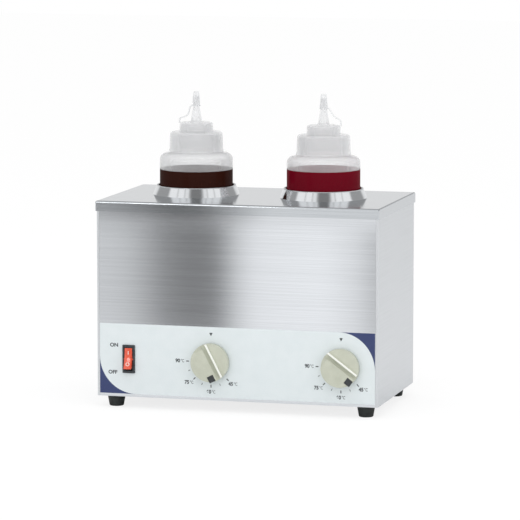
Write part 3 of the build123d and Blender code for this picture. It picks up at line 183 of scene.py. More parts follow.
bpy.ops.object.select_all(action="DESELECT")
bpy.ops.mesh.primitive_plane_add(size=TABLE_SIZE, location=(0, 0, 0))
table = bpy.context.object
table.name = "table_top"
paper = bpy.data.materials.new("white_table_laminate")
paper.use_nodes = True
tree = paper.node_tree
tree.nodes.clear()
matt = add(tree, "BsdfDiffuse", {"Color": linear("#F6F6F6")})
glow = add(tree, "Emission", {"Color": WHITE, "Strength": TABLE_WHITE})
seen = seen_by_eye(tree, add(tree, "LightPath"))
share = add(tree, "Math", {0: seen, 1: 1 - SHADOW_SHARE}, operation="MULTIPLY")
face = add(tree, "MixShader", {0: share.outputs[0], 1: matt.outputs[0], 2: glow.outputs[0]})
add(tree, "OutputMaterial", {"Surface": face.outputs[0]})
table.data.materials.append(paper)

# A wide lamp above and in front gives the light, one at the right fills the side, and two small
# ones give the glints on what is glossy.
LAMP_AIM = (0, 0, 0.15)

for name, place, size, power, glints in (
    ("lamp_above", (0.3, -1.4, 2.4), 1.8, 13, False),
    ("lamp_right", (2.2, -0.9, 1.1), 1.4, 5, False),
    ("glint_left", (-0.66, -2.0, 0.74), 0.38, 2.0, True),
    ("glint_right", (2.3, -1.2, 1.0), 0.35, 0.7, True),
):
    bpy.ops.object.light_add(type="AREA", location=place)
    lamp = bpy.context.object
    lamp.name = name
    lamp.data.size = size
    lamp.data.energy = power
    lamp.rotation_euler = (Vector(LAMP_AIM) - Vector(place)).to_track_quat("-Z", "Y").to_euler()
    lamp.visible_glossy = glints

# Two printed cards stand before the front, and only polished metal shows them. The lower one
# gives the brushed front its upright bands, and the upper one darkens the left of the lid's lip.
CARD_Y = -0.60
CARD_LEFT = -0.40
CARD_RIGHT = 0.20
FRONT_BANDS = (
    (0.00, 0.78),
    (0.15, 0.76),
    (0.20, 0.68),
    (0.24, 0.50),
    (0.28, 0.32),
    (0.33, 0.25),
    (0.385, 0.25),
    (0.41, 0.48),
    (0.435, 0.80),
    (0.47, 1.02),
    (0.62, 1.08),
    (0.69, 0.92),
    (0.73, 0.64),
)
LIP_BANDS = (
    (0.00, 0.50),
    (0.14, 0.44),
    (0.20, 0.33),
    (0.25, 0.25),
    (0.29, 0.16),
    (0.36, 0.18),
    (0.41, 0.44),
    (0.45, 0.62),
    (0.50, 0.92),
    (0.80, 0.94),
)

for name, low, high, bands in (
    ("front_card", 0.002, 0.146, FRONT_BANDS),
    ("lip_card", 0.148, 0.205, LIP_BANDS),
):
    bpy.ops.object.select_all(action="DESELECT")
    bpy.ops.mesh.primitive_plane_add(
        size=1,
        location=((CARD_LEFT + CARD_RIGHT) / 2, CARD_Y, (low + high) / 2),
        rotation=(pi / 2, 0, 0),
    )
    card = bpy.context.object
    card.name = name
    card.scale = (CARD_RIGHT - CARD_LEFT, high - low, 1)
    bpy.ops.object.transform_apply(location=True, rotation=True, scale=True)
    card.visible_camera = False
    card.visible_diffuse = False
    card.visible_transmission = False
    card.visible_shadow = False
    board = bpy.data.materials.new(name)
    board.use_nodes = True
    tree = board.node_tree
    tree.nodes.clear()
    across = add(tree, "SeparateXYZ", {0: add(tree, "TexCoord").outputs["Object"]}).outputs["X"]
    place = add(tree, "MapRange", {"Value": across, "From Min": CARD_LEFT, "From Max": CARD_RIGHT})
    shades = add(tree, "ValToRGB", {"Fac": place.outputs[0]}, stops=bands)
    grey = add(tree, "Emission", {"Color": shades.outputs[0], "Strength": 1.0})
    add(tree, "OutputMaterial", {"Surface": grey.outputs[0]})
    card.data.materials.append(board)

# ---------------------------------------------------------------------------
# Feet: black rubber, moulded with a slight taper. A zinc-plated screw with a
# washer goes up through each foot and the tray into a nut.
# ---------------------------------------------------------------------------

MM = 0.001
nodes = frame["nodes"]


def new_surface(name, **values):
    """A material with its shader; the names of the values are the shader's own sockets."""
    material = bpy.data.materials.new(name)
    material.use_nodes = True
    shader = material.node_tree.nodes["Principled BSDF"]
    for socket, value in values.items():
        shader.inputs[socket.replace("_", " ")].default_value = value
    return material, material.node_tree, shader


def two_tones(tree, pattern, low, high, dark, pale):
    """Colour that goes from dark to pale while a pattern goes from low to high."""
    step = add(tree, "MapRange", {"Value": pattern, "From Min": low, "From Max": high})
    ends = {0: step.outputs[0], 6: linear(dark), 7: linear(pale)}
    return add(tree, "Mix", ends, data_type="RGBA").outputs[2]


def relief(tree, shader, pattern, smooth, rough, strength, depth):
    """Let one pattern make a surface uneven to a real depth, and duller from smooth to rough."""
    matt = add(tree, "MapRange", {"Value": pattern, "To Min": smooth, "To Max": rough})
    tree.links.new(matt.outputs[0], shader.inputs["Roughness"])
    rise = add(tree, "Bump", {"Height": pattern, "Strength": strength, "Distance": depth})
    tree.links.new(rise.outputs[0], shader.inputs["Normal"])


def dress(material, *names):
    """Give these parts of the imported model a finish."""
    for name in names:
        for slot in nodes[name].material_slots:
            slot.material = material


RUBBER_GRAIN = 0.6 * MM
RUBBER_CLOUD = 7 * MM
ZINC_CLOUD = 1.5 * MM

# Rubber: nearly black, with a greenish cast and a fine dull grain.
foot_rubber, tree, shader = new_surface("black_moulded_rubber", Metallic=0.0, IOR=1.52)
where = add(tree, "TexCoord").outputs["Object"]
cloud = add(tree, "TexNoise", {"Vector": where, "Scale": 1 / RUBBER_CLOUD, "Detail": 2.0})
tone = two_tones(tree, cloud.outputs["Fac"], 0.35, 0.70, "#141918", "#262D2C")
tree.links.new(tone, shader.inputs["Base Color"])
grain = add(tree, "TexNoise", {"Vector": where, "Scale": 1 / RUBBER_GRAIN, "Detail": 4.0})
relief(tree, shader, grain.outputs["Fac"], 0.50, 0.72, 0.35, 0.05 * MM)
dress(foot_rubber, "foot_front_left", "foot_front_right", "foot_rear_left", "foot_rear_right")

# Zinc plating: a thin bluish-grey coat with faint cloudiness.
zinc_plate, tree, shader = new_surface("zinc_plated_steel", Metallic=1.0)
where = add(tree, "TexCoord").outputs["Object"]
cloud = add(tree, "TexNoise", {"Vector": where, "Scale": 1 / ZINC_CLOUD, "Detail": 3.0})
tone = two_tones(tree, cloud.outputs["Fac"], 0.30, 0.75, "#A9ADB0", "#CDD1D4")
tree.links.new(tone, shader.inputs["Base Color"])
relief(tree, shader, cloud.outputs["Fac"], 0.22, 0.42, 0.15, 0.02 * MM)
dress(zinc_plate, "foot_washers", "foot_screws", "foot_nuts")

# ---------------------------------------------------------------------------
# Cabinet sheets: stainless steel about a millimetre thick, folded. The front
# is brushed along its length; the others have the mill's finer satin grain.
# ---------------------------------------------------------------------------

GRAIN_LONG = 120 * MM  # length of a brush scratch
GRAIN_TALL = 0.8 * MM  # coarser than the real tenth of a millimetre, so that it shows


def stainless_sheet(name, dark, pale, along, dull, depth):
    """Stainless sheet whose scratches run along one axis, 0 for X and 1 for Y.

    Dull is how far it is from a mirror, and depth is how deep its scratches are.
    """
    material, tree, shader = new_surface(name, Metallic=1.0)
    where = add(tree, "TexCoord").outputs["Object"]
    scale = [1 / GRAIN_TALL] * 3
    scale[along] = 1 / GRAIN_LONG
    stretch = add(tree, "Mapping", {"Vector": where, "Scale": scale})
    scratch = add(tree, "TexNoise", {"Vector": stretch.outputs[0], "Scale": 1.0, "Detail": 3.0})
    tone = two_tones(tree, scratch.outputs["Fac"], 0.30, 0.70, dark, pale)
    tree.links.new(tone, shader.inputs["Base Color"])
    relief(tree, shader, scratch.outputs["Fac"], dull - 0.01, dull + 0.02, 1.0, depth)
    return material


# Brushed: fine long scratches over a sheet that mirrors as soft upright bands.
front_steel = stainless_sheet("stainless_sheet_brushed", "#D8DBDF", "#E2E5E9", 0, 0.105, 0.0008 * MM)
# Satin: coloured darker than the front, which is painted shade for how dark the lid's top looks in
# this light, and the lid mirrors the rings softly.
top_steel_painted_shade = stainless_sheet("stainless_sheet_satin_top_painted_shade", "#C6CACE", "#D3D7DB", 0, 0.12, 0.003 * MM)
# The sides and the back are duller, an even pale grey with hardly any reflection.
side_steel = stainless_sheet("stainless_sheet_satin_side", "#D8DBDE", "#DEE1E4", 1, 0.36, 0.006 * MM)
back_steel = stainless_sheet("stainless_sheet_satin_back", "#D6D9DC", "#DDE0E3", 0, 0.36, 0.006 * MM)
dress(front_steel, "front_panel")
dress(top_steel_painted_shade, "lid_plate")
dress(side_steel, "side_panel_left", "side_panel_right")
dress(back_steel, "rear_panel", "base_tray")
dress(zinc_plate, "rear_panel_screws", "lid_screws")

# ---------------------------------------------------------------------------
# Wells: pots drawn from stainless sheet, with spun and polished rings on the
# lid. A mica band heater clamps round each pot, with mineral wool over it.
# ---------------------------------------------------------------------------

SIDES = ("left", "right")
TURNING_STEP = 0.5 * MM  # coarser than the real fifth of a millimetre, so that it shows


def turned_steel(name, dark, pale, dull):
    """Polished steel with the fine rings that turning leaves, one above the other."""
    material, tree, shader = new_surface(name, Metallic=1.0)
    height = add(tree, "SeparateXYZ", {0: add(tree, "TexCoord").outputs["Object"]}).outputs["Z"]
    rings = add(tree, "Math", {0: height, 1: 1 / TURNING_STEP}, operation="MULTIPLY")
    ring = add(
        tree,
        "TexNoise",
        {"W": rings.outputs[0], "Scale": 1.0, "Detail": 3.0},
        noise_dimensions="1D",
    ).outputs["Fac"]
    tree.links.new(two_tones(tree, ring, 0.0, 1.0, dark, pale), shader.inputs["Base Color"])
    relief(tree, shader, ring, dull - 0.03, dull + 0.05, 0.5, 0.02 * MM)
    return material


# Spun and polished: bright, with sharp dark and light bands from the room.
spun_steel = turned_steel("spun_stainless", "#DCDFE2", "#EFF1F3", 0.09)
# Deep drawn: greyer and softer, as the press leaves it.
drawn_steel = turned_steel("drawn_stainless", "#C4C7C9", "#D9DBDD", 0.26)
for side in SIDES:
    dress(spun_steel, f"collar_ring_{side}")
    dress(drawn_steel, f"well_pot_{side}")

CLOUD_TIMES = 14  # patches of tone, in grains
SPECKLE_SPREAD = 0.07  # of the roughness, to either side


def speckled(name, dark, pale, grain, rough, depth, metallic=0.0):
    """Plain finish for moulded, fired, drawn, printed and woven pieces.

    Grain is the size of its specks, and depth is how far they stand up. Most real specks are
    finer, and these are as coarse as they need to be to show from near.
    """
    material, tree, shader = new_surface(name, Metallic=metallic)
    where = add(tree, "TexCoord").outputs["Object"]
    specks = add(tree, "TexNoise", {"Vector": where, "Scale": 1 / grain, "Detail": 4.0})
    patch = CLOUD_TIMES * grain
    cloud = add(tree, "TexNoise", {"Vector": where, "Scale": 1 / patch, "Detail": 2.0})
    fine = specks.outputs["Fac"]
    mixed = add(tree, "Math", {0: fine, 1: cloud.outputs["Fac"]}, operation="ADD")
    tone = two_tones(tree, mixed.outputs[0], 0.70, 1.30, dark, pale)
    tree.links.new(tone, shader.inputs["Base Color"])
    relief(tree, shader, fine, rough - SPECKLE_SPREAD, rough + SPECKLE_SPREAD, 0.4, depth)
    return material


# Steel bands: browned by heat, in warm patches.
band_steel = speckled("heat_tinted_steel_band", "#8C8172", "#B5ADA0", 1.2 * MM, 0.38, 0.03 * MM, 1.0)
# Mineral wool: straw yellow, rough and quite without shine.
mineral_wool = speckled("mineral_wool_blanket", "#A98F55", "#D6C08A", 1.0 * MM, 0.92, 0.60 * MM)
# Brass: yellow metal with a soft gloss.
plain_brass = speckled("bare_brass", "#B08D45", "#D8BB74", 0.8 * MM, 0.30, 0.02 * MM, 1.0)
dress(band_steel, "band_heater_left", "band_heater_right", "bulb_clips", "heater_clamp_bolts")
dress(mineral_wool, "insulation_left", "insulation_right")
dress(plain_brass, "heater_terminals", "switch_terminals", "earth_stud")

# ---------------------------------------------------------------------------
# Thermostats, wiring and mains entry: brown phenolic housings, a drawn copper
# capillary, silicone-sleeved wires, a glazed block and a black nylon gland.
# ---------------------------------------------------------------------------

# Phenolic: dull dark brown, with a fine mottle.
phenolic = speckled("brown_phenolic_moulding", "#4A4038", "#6A5D52", 0.6 * MM, 0.48, 0.03 * MM)
# Copper: reddish metal, nearly smooth from the die.
copper = speckled("drawn_copper", "#B4714B", "#D79A74", 0.5 * MM, 0.28, 0.01 * MM, 1.0)
# Silicone sleeve: pale warm grey and matt.
sleeve = speckled("silicone_sleeve", "#BDBBB2", "#DEDCD3", 0.5 * MM, 0.62, 0.03 * MM)
# Steatite: cream, under a clear glaze that glints.
steatite = speckled("glazed_steatite", "#DAD4C4", "#F0EBDD", 0.9 * MM, 0.24, 0.02 * MM)
# Nylon: nearly black, half dull.
black_nylon = speckled("black_moulded_nylon", "#1C1F21", "#2C3033", 0.5 * MM, 0.46, 0.03 * MM)
dress(phenolic, "thermostat_body_left", "thermostat_body_right", "overheat_cutouts")
dress(copper, "capillary_left", "capillary_right")
dress(sleeve, "wiring_loom")
dress(steatite, "terminal_block")
dress(black_nylon, "cable_gland", "gland_nut")
dress(zinc_plate, "thermostat_screws", "thermostat_shaft_left", "thermostat_shaft_right")

# ---------------------------------------------------------------------------
# Control overlay: polycarbonate film, printed on its back and stuck to the
# front. It has a pale field, two blue corners and a scale round each dial.
# ---------------------------------------------------------------------------

# Film: a cool pale field with a satin face.
overlay_film = speckled("printed_polycarbonate_film", "#DCE4E6", "#E1E8EA", 0.9 * MM, 0.36, 0.01 * MM)
dress(overlay_film, "control_overlay")
# Blue ink: an even dark blue under the same satin face.
blue_ink = speckled("blue_screen_print", "#2A3767", "#33406E", 0.9 * MM, 0.36, 0.01 * MM)
# Black ink: a soft black, as thin print looks on a pale ground.
black_ink = speckled("black_screen_print", "#33383C", "#474C50", 0.5 * MM, 0.40, 0.01 * MM)

FILM_LOW, FILM_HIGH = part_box("control_overlay")
PRINT_Y = FILM_LOW[1] - 0.04 * MM  # just before the film
CORNER_LOW_R = (41.5 * MM, 41.5 * MM)
CORNER_HIGH_R = (40.5 * MM, 42.0 * MM)
CORNER_STEPS = 24


def draw_flat(name, points):
    """Flat piece on the film: its outline is drawn point by point and then filled."""
    bpy.ops.object.select_all(action="DESELECT")
    bpy.ops.mesh.primitive_plane_add(size=MM)
    piece = bpy.context.object
    piece.name = name
    bpy.ops.object.mode_set(mode="EDIT")
    bpy.ops.mesh.select_all(action="DESELECT")
    bpy.ops.object.mode_set(mode="OBJECT")
    for vertex in piece.data.vertices[1:]:
        vertex.select = True
    bpy.ops.object.mode_set(mode="EDIT")
    bpy.ops.mesh.delete(type="VERT")
    bpy.ops.object.mode_set(mode="OBJECT")
    first = Vector((points[0][0], PRINT_Y, points[0][1]))
    piece.data.vertices[0].co = first
    piece.data.vertices[0].select = True
    bpy.ops.object.mode_set(mode="EDIT")
    last = first
    for x, z in points[1:]:
        spot = Vector((x, PRINT_Y, z))
        bpy.ops.mesh.extrude_vertices_move(TRANSFORM_OT_translate={"value": tuple(spot - last)})
        last = spot
    bpy.ops.mesh.select_all(action="SELECT")
    bpy.ops.mesh.edge_face_add()
    bpy.ops.object.mode_set(mode="OBJECT")
    if piece.data.polygons[0].normal.y > 0:
        piece.data.flip_normals()
    return piece


def corner_points(corner_x, corner_z, way_x, way_z, radius):
    """Corner of the film outside the quarter arc that rounds the pale field."""
    wide, tall = radius
    centre_x = corner_x + way_x * wide
    centre_z = corner_z + way_z * tall
    arc = []
    for step in range(CORNER_STEPS + 1):
        turn = pi / 2 * step / CORNER_STEPS
        arc.append((centre_x - way_x * wide * cos(turn), centre_z - way_z * tall * sin(turn)))
    return [(corner_x, corner_z)] + arc


corner_low = draw_flat(
    "overlay_corner_low",
    corner_points(FILM_LOW[0], FILM_LOW[2], 1, 1, CORNER_LOW_R),
)
corner_high = draw_flat(
    "overlay_corner_high",
    corner_points(FILM_HIGH[0], FILM_HIGH[2], -1, -1, CORNER_HIGH_R),
)
for corner in (corner_low, corner_high):
    corner.data.materials.append(blue_ink)
    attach(corner, "cabinet")

LETTER_SHARE = 0.70  # height of a capital in the letters' nominal size


def print_words(words, x, z, tall, wide, bold):
    """Words printed on the film, centred on a place.

    Wide stretches them sideways, and bold thickens their strokes by a share of the letters' size.
    """
    bpy.ops.object.select_all(action="DESELECT")
    bpy.ops.object.text_add(location=(0, 0, 0))
    text = bpy.context.object
    text.data.body = words
    text.data.align_x = "CENTER"
    text.data.align_y = "CENTER"
    text.data.size = tall / LETTER_SHARE
    text.data.offset = bold * text.data.size
    bpy.ops.object.convert(target="MESH")
    text = bpy.context.object
    text.scale = (wide, 1, 1)
    text.rotation_euler = (pi / 2, 0, 0)
    text.location = (x, PRINT_Y, z)
    bpy.ops.object.transform_apply(location=True, rotation=True, scale=True)
    return text


# The two words stand to the left of the switch.
SWITCH_LOW, SWITCH_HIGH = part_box("switch_housing")
SWITCH_X = (SWITCH_LOW[0] + SWITCH_HIGH[0]) / 2
ON_X = SWITCH_X - 17.1 * MM
ON_Z = 70.4 * MM
ON_TALL = 4.0 * MM
OFF_X = SWITCH_X - 18.7 * MM
OFF_Z = 40.0 * MM
OFF_TALL = 3.9 * MM
WORD_WIDE = 1.05
WORD_BOLD = 0.036

printed = [
    print_words("ON", ON_X, ON_Z, ON_TALL, WORD_WIDE, WORD_BOLD),
    print_words("OFF", OFF_X, OFF_Z, OFF_TALL, WORD_WIDE, WORD_BOLD),
]

# Each dial has a mark above it, and ticks with temperatures from its lower right round to its
# left. Angles go clockwise from straight up.
DIAL_X = []
for side in SIDES:
    shaft_low, shaft_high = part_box(f"thermostat_shaft_{side}")
    DIAL_X.append((shaft_low[0] + shaft_high[0]) / 2)
DIAL_Z = (shaft_low[2] + shaft_high[2]) / 2  # the same for both
MARK_RISE = 30.6 * MM  # from the dial's centre to the middle of the mark above it
MARK_HALF = 1.9 * MM
TICK_R = 26.9 * MM
MAIN_TICK = (3.2 * MM, 0.55 * MM)  # length and half width
FINE_TICK = (2.4 * MM, 0.32 * MM)
SCALE = ((135, "45"), (180, "60"), (225, "75"), (270, "90"))
BETWEEN = (157.5, 202.5, 247.5)
TICKS = [(angle, *MAIN_TICK) for angle, _ in SCALE] + [(angle, *FINE_TICK) for angle in BETWEEN]
LABEL_WIDE = 35.6 * MM  # labels stand on an oval round the dial
LABEL_DEEP = 33.4 * MM
FIGURES_LEFT = 2.5 * MM  # figures and their unit, to either side of a label's middle
FIGURES_TALL = 3.9 * MM
FIGURES_WIDE = 0.95
FIGURES_BOLD = 0.04
UNIT_RIGHT = 2.9 * MM
UNIT_TALL = 3.4 * MM
UNIT_WIDE = 0.80
UNIT_BOLD = 0.01

for dial_x in DIAL_X:
    top = DIAL_Z + MARK_RISE
    mark_left = (dial_x - MARK_HALF, top + MARK_HALF)
    mark_right = (dial_x + MARK_HALF, top + MARK_HALF)
    printed.append(draw_flat("mark", [mark_left, mark_right, (dial_x, top - MARK_HALF)]))
    for angle, long, half in TICKS:
        out = Vector((sin(radians(angle)), cos(radians(angle))))
        across = Vector((out.y, -out.x)) * half
        near = Vector((dial_x, DIAL_Z)) + out * (TICK_R - long / 2)
        far = Vector((dial_x, DIAL_Z)) + out * (TICK_R + long / 2)
        corners = [near - across, near + across, far + across, far - across]
        printed.append(draw_flat("tick", corners))
    for angle, figures in SCALE:
        label_x = dial_x + sin(radians(angle)) * LABEL_WIDE
        label_z = DIAL_Z + cos(radians(angle)) * LABEL_DEEP
        left = label_x - FIGURES_LEFT
        right = label_x + UNIT_RIGHT
        printed.append(print_words(figures, left, label_z, FIGURES_TALL, FIGURES_WIDE, FIGURES_BOLD))
        printed.append(print_words("°C", right, label_z, UNIT_TALL, UNIT_WIDE, UNIT_BOLD))

bpy.ops.object.select_all(action="DESELECT")
for piece in printed:
    piece.select_set(True)
bpy.context.view_layer.objects.active = printed[0]
bpy.ops.object.join()
overlay_print = bpy.context.object
overlay_print.name = "overlay_print"
overlay_print.data.materials.clear()
overlay_print.data.materials.append(black_ink)
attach(overlay_print, "cabinet")

# ---------------------------------------------------------------------------
# Rocker switch: a black nylon housing that snaps into the front, and a rocker
# of clear red polycarbonate with its two marks filled in pale.
# ---------------------------------------------------------------------------

EDGE_ROUND = 0.35 * MM
EDGE_STEPS = 3
EDGE_ANGLE = radians(32)  # edges sharper than this are rounded
SMOOTH_ANGLE = radians(38)
FLAT_ANGLE = radians(0.6)  # facets closer than this become one face
WELD = 0.002 * MM


def rounded_copy(node, name, body, material):
    """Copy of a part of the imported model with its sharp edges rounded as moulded."""
    bpy.ops.object.select_all(action="DESELECT")
    piece = nodes[node].copy()
    piece.data = nodes[node].data.copy()
    piece.parent = None
    # The copy is a piece of its own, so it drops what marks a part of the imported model.
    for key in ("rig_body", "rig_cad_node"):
        if key in piece:
            del piece[key]
    piece.name = name
    bpy.context.scene.collection.objects.link(piece)
    piece.select_set(True)
    bpy.context.view_layer.objects.active = piece
    bpy.ops.object.mode_set(mode="EDIT")
    bpy.ops.mesh.select_all(action="SELECT")
    bpy.ops.mesh.customdata_custom_splitnormals_clear()
    bpy.ops.mesh.remove_doubles(threshold=WELD)
    bpy.ops.mesh.dissolve_limited(angle_limit=FLAT_ANGLE)
    bpy.ops.object.mode_set(mode="OBJECT")
    rounding = piece.modifiers.new("edges", "BEVEL")
    rounding.width = EDGE_ROUND
    rounding.segments = EDGE_STEPS
    rounding.limit_method = "ANGLE"
    rounding.angle_limit = EDGE_ANGLE
    rounding.use_clamp_overlap = True
    bpy.ops.object.modifier_apply(modifier="edges")
    bpy.ops.object.shade_smooth_by_angle(angle=SMOOTH_ANGLE)
    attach(piece, body)
    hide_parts(node)
    piece.data.materials.clear()
    piece.data.materials.append(material)


RED_CLOUD = 5 * MM

# Clear red plastic over a lamp: deep colour, a wet gloss and a slight cloud inside.
rocker_red, tree, shader = new_surface(
    "clear_red_polycarbonate",
    Metallic=0.0,
    IOR=1.585,
    Coat_Weight=1.0,
    Coat_Roughness=0.04,
)
where = add(tree, "TexCoord").outputs["Object"]
cloud = add(tree, "TexNoise", {"Vector": where, "Scale": 1 / RED_CLOUD, "Detail": 2.0})
tone = two_tones(tree, cloud.outputs["Fac"], 0.0, 1.0, "#D63A1C", "#F06038")
tree.links.new(tone, shader.inputs["Base Color"])
relief(tree, shader, cloud.outputs["Fac"], 0.14, 0.24, 0.1, 0.02 * MM)
rounded_copy("switch_rocker", "rocker_key", "rocker", rocker_red)

# Nylon filled with soot: nearly black, with a faint moulded grain.
switch_black = speckled("black_switch_nylon", "#24282C", "#363B40", 0.5 * MM, 0.38, 0.02 * MM)
dress(switch_black, "switch_housing")

# The two marks are hot-filled in the rocker's dished face: a bar above, a ring below.
ROCKER_TILT = radians(14)
PIVOT = Vector((SWITCH_X, -93.0 * MM, 55.4 * MM))
ROCKER_FACE = 2.9 * MM  # from the pivot to the bottom of the dish
DISH_R = 54.2 * MM
MARK_AT = 6.4 * MM  # from the middle of the dish
MARK_TALL = 4.0 * MM
MARK_BOLD = 0.022
MARK_PROUD = 0.05 * MM

# Filled marks: pale pink, a little duller than the plastic.
mark_white = speckled("pale_hot_filled_mark", "#F3D9CF", "#FBEDE6", 0.4 * MM, 0.40, 0.01 * MM)
for name, letter, way in (("rocker_mark_on", "I", 1), ("rocker_mark_off", "O", -1)):
    lean = way * MARK_AT / DISH_R
    mark = print_words(letter, 0, 0, MARK_TALL, 1.0, MARK_BOLD)
    mark.name = name
    bpy.ops.object.select_all(action="DESELECT")
    mark.select_set(True)
    bpy.context.view_layer.objects.active = mark
    bpy.ops.transform.translate(value=(0, -PRINT_Y, 0))
    bpy.ops.transform.rotate(value=ROCKER_TILT - lean, orient_axis="X", center_override=(0, 0, 0))
    up = Vector((0, sin(ROCKER_TILT), cos(ROCKER_TILT)))
    out = Vector((0, -cos(ROCKER_TILT), sin(ROCKER_TILT)))
    face = ROCKER_FACE + MARK_AT**2 / (2 * DISH_R) + MARK_PROUD
    bpy.ops.transform.translate(value=PIVOT + up * way * MARK_AT + out * face)
    bpy.ops.object.transform_apply(location=True, rotation=True, scale=True)
    mark.data.materials.clear()
    mark.data.materials.append(mark_white)
    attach(mark, "rocker")

# ---------------------------------------------------------------------------
# Knobs: beige thermoset, moulded with a finger channel beside a thin ridge. A
# square black insert, pressed in near the rim, points at the scale.
# ---------------------------------------------------------------------------

RIDGE_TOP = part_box("knob_left")[0][1]
RIDGE_HIGHLIGHT_FROM = RIDGE_TOP + 2.0 * MM  # the painted highlight on the ridge starts here
RIDGE_HIGHLIGHT_TO = RIDGE_TOP + 0.6 * MM  # and is at its palest here

# Thermoset: an even warm grey with a fine moulded grain, and a painted highlight that colours the
# ridge's top pale.
knob_beige = speckled("beige_moulded_thermoset", "#BCBFAE", "#C8CBBB", 0.7 * MM, 0.42, 0.02 * MM)
tree = knob_beige.node_tree
shader = tree.nodes["Principled BSDF"]
body_tone = shader.inputs["Base Color"].links[0].from_socket
depth = add(tree, "SeparateXYZ", {0: add(tree, "TexCoord").outputs["Object"]}).outputs["Y"]
# Painted highlight: the ridge's top, the part nearest the front, is coloured pale as if it caught the
# light.
ridge_highlight = add(
    tree,
    "MapRange",
    {"Value": depth, "From Min": RIDGE_HIGHLIGHT_FROM, "From Max": RIDGE_HIGHLIGHT_TO},
    interpolation_type="SMOOTHSTEP",
)
ends = {0: ridge_highlight.outputs[0], 6: body_tone, 7: linear("#F4F5EE")}
tone = add(tree, "Mix", ends, data_type="RGBA")
tree.links.new(tone.outputs[2], shader.inputs["Base Color"])
for side in SIDES:
    rounded_copy(f"knob_{side}", f"knob_{side}_cap", f"knob_{side}", knob_beige)

# Insert: a flat soft black against the beige.
pointer_black = speckled("black_moulded_insert", "#282B2D", "#3A3E40", 0.6 * MM, 0.45, 0.02 * MM)
dress(pointer_black, "knob_pointer_left", "knob_pointer_right")

# ---------------------------------------------------------------------------
# Bottles: milky polyethylene, the body blown and the caps moulded. The topping
# wets the wall, so that below its surface only its own colour shows.
# ---------------------------------------------------------------------------

MILKY_CLOUD = 6 * MM
MILKY_THROUGH = 0.10  # share of the light that goes on through the plastic
SLANT_BLEND = 0.35  # how soon a wall counts as seen along its length
WET_EDGE = 0.5 * MM
DRY_MIRROR = 0.50  # a wet wall mirrors nothing, since the topping's own faint shine shows
TOPPING_MIRROR = 0.08


def milky_plastic(name, facing, slant, level=None, topping=None):
    """Translucent polyethylene; below its topping's level a bottle's wall shows the topping.

    Facing and slant are how much a wall covers when it is seen straight on and along its length.
    """
    material, tree, shader = new_surface(
        name,
        Metallic=0.0,
        IOR=1.45,
        Transmission_Weight=MILKY_THROUGH,
    )
    where = add(tree, "TexCoord").outputs["Object"]
    noise = add(tree, "TexNoise", {"Vector": where, "Scale": 1 / MILKY_CLOUD, "Detail": 3.0})
    cloud = noise.outputs["Fac"]
    tone = two_tones(tree, cloud, 0.0, 1.0, "#F1F2F4", "#FAFBFC")
    tilt = add(tree, "LayerWeight", {"Blend": SLANT_BLEND}).outputs["Facing"]
    cover = add(tree, "MapRange", {"Value": tilt, "To Min": facing, "To Max": slant}).outputs[0]
    if level is not None:
        height = add(tree, "SeparateXYZ", {0: where}).outputs["Z"]
        edge = {"Value": height, "From Min": level, "From Max": level - WET_EDGE}
        wet = add(tree, "MapRange", edge).outputs[0]
        tone = add(tree, "Mix", {0: wet, 6: tone, 7: linear(topping)}, data_type="RGBA").outputs[2]
        cover = add(tree, "Math", {0: cover, 1: wet}, operation="MAXIMUM").outputs[0]
        mirror = add(tree, "MapRange", {"Value": wet, "To Min": DRY_MIRROR, "To Max": 0.0})
        tree.links.new(mirror.outputs[0], shader.inputs["Specular IOR Level"])
    tree.links.new(tone, shader.inputs["Base Color"])
    tree.links.new(cover, shader.inputs["Alpha"])
    relief(tree, shader, cloud, 0.12, 0.20, 0.2, 0.05 * MM)
    return material


# Caps: clear enough to show what stands behind them, with a pale edge all round.
cap_plastic = milky_plastic("moulded_polyethylene", 0.22, 0.62)
# Tip covers and straps: small and soft, and whiter than the caps.
tip_plastic = milky_plastic("soft_moulded_polyethylene", 0.50, 0.88)
# Toppings: an even dark brown and an even dark red, hardly shiny through the wall.
fudge = speckled("brown_fudge_topping", "#32160F", "#391A13", 3.0 * MM, 0.60, 0.02 * MM)
berry = speckled("red_berry_topping", "#6A0A1D", "#760C22", 3.0 * MM, 0.60, 0.02 * MM)
# A bottle's wall: faint above the topping, and the topping's colour below its surface.
for side, topping, shade in (("left", fudge, "#351912"), ("right", berry, "#720B1E")):
    shader = topping.node_tree.nodes["Principled BSDF"]
    shader.inputs["Specular IOR Level"].default_value = TOPPING_MIRROR
    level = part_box(f"sauce_{side}")[1][2]
    wall = milky_plastic(f"blown_polyethylene_{side}", 0.22, 0.60, level, shade)
    dress(wall, f"bottle_{side}")
    dress(topping, f"sauce_{side}")
    dress(cap_plastic, f"bottle_cap_{side}", f"nozzle_{side}")
    dress(tip_plastic, f"tip_cover_{side}")

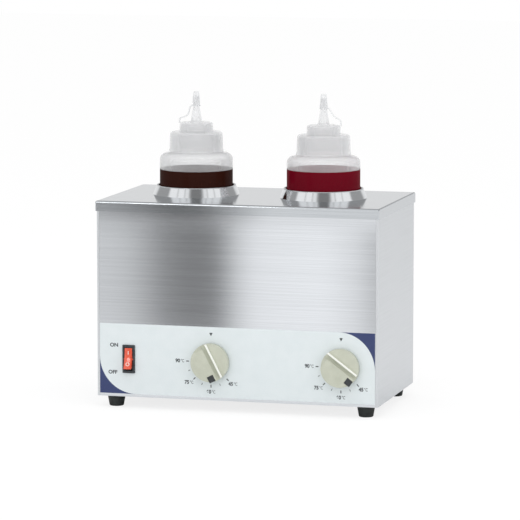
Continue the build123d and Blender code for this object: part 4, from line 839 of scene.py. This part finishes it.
# ---------------------------------------------------------------------------
# Tethers: soft polyethylene straps, moulded with the tip covers. Each runs from
# its cover's bead down to the edge of the nozzle cap and keeps the cover.
# ---------------------------------------------------------------------------

STRAP_HALF_T = 0.7 * MM
STRAP_HALF_W = 0.8 * MM
STRAP_STEPS = 10
STRAP_ROUND = 4
STRAP_SMOOTH = radians(50)
# Millimetres from the nozzle's axis and above the table, from the cover down.
STRAP_LEFT = (
    (4.6, 329.9),
    (6.5, 329.6),
    (7.6, 327.0),
    (8.7, 322.5),
    (10.4, 318.0),
    (15.8, 316.6),
    (20.0, 315.6),
    (19.5, 310.4),
)
STRAP_RIGHT = (
    (4.6, 330.2),
    (6.3, 330.4),
    (9.3, 324.6),
    (12.3, 320.6),
    (17.6, 318.5),
    (21.0, 315.6),
    (19.6, 310.4),
)

for side, way, route in (("left", -1, STRAP_LEFT), ("right", 1, STRAP_RIGHT)):
    low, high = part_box(f"nozzle_{side}")
    axis_x = (low[0] + high[0]) / 2
    axis_y = (low[1] + high[1]) / 2
    bpy.ops.object.select_all(action="DESELECT")
    bpy.ops.curve.primitive_nurbs_path_add()
    strap = bpy.context.object
    strap.data.splines.clear()
    spline = strap.data.splines.new("NURBS")
    spline.points.add(len(route) - 1)
    for point, (r, z) in zip(spline.points, route):
        point.co = (axis_x + way * r * MM, z * MM, 0, 1)
    spline.order_u = 4
    spline.use_endpoint_u = True
    spline.resolution_u = STRAP_STEPS
    strap.data.dimensions = "3D"
    strap.data.bevel_depth = STRAP_HALF_T
    strap.data.bevel_resolution = STRAP_ROUND
    strap.data.extrude = STRAP_HALF_W
    strap.data.use_fill_caps = True
    bpy.ops.object.convert(target="MESH")
    strap = bpy.context.object
    strap.name = f"tether_strap_{side}"
    strap.rotation_euler = (pi / 2, 0, 0)
    strap.location = (0, axis_y, 0)
    bpy.ops.object.transform_apply(location=True, rotation=True, scale=True)
    bpy.ops.object.shade_smooth_by_angle(angle=STRAP_SMOOTH)
    strap.data.materials.append(tip_plastic)
    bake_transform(strap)
    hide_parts(f"tether_{side}")
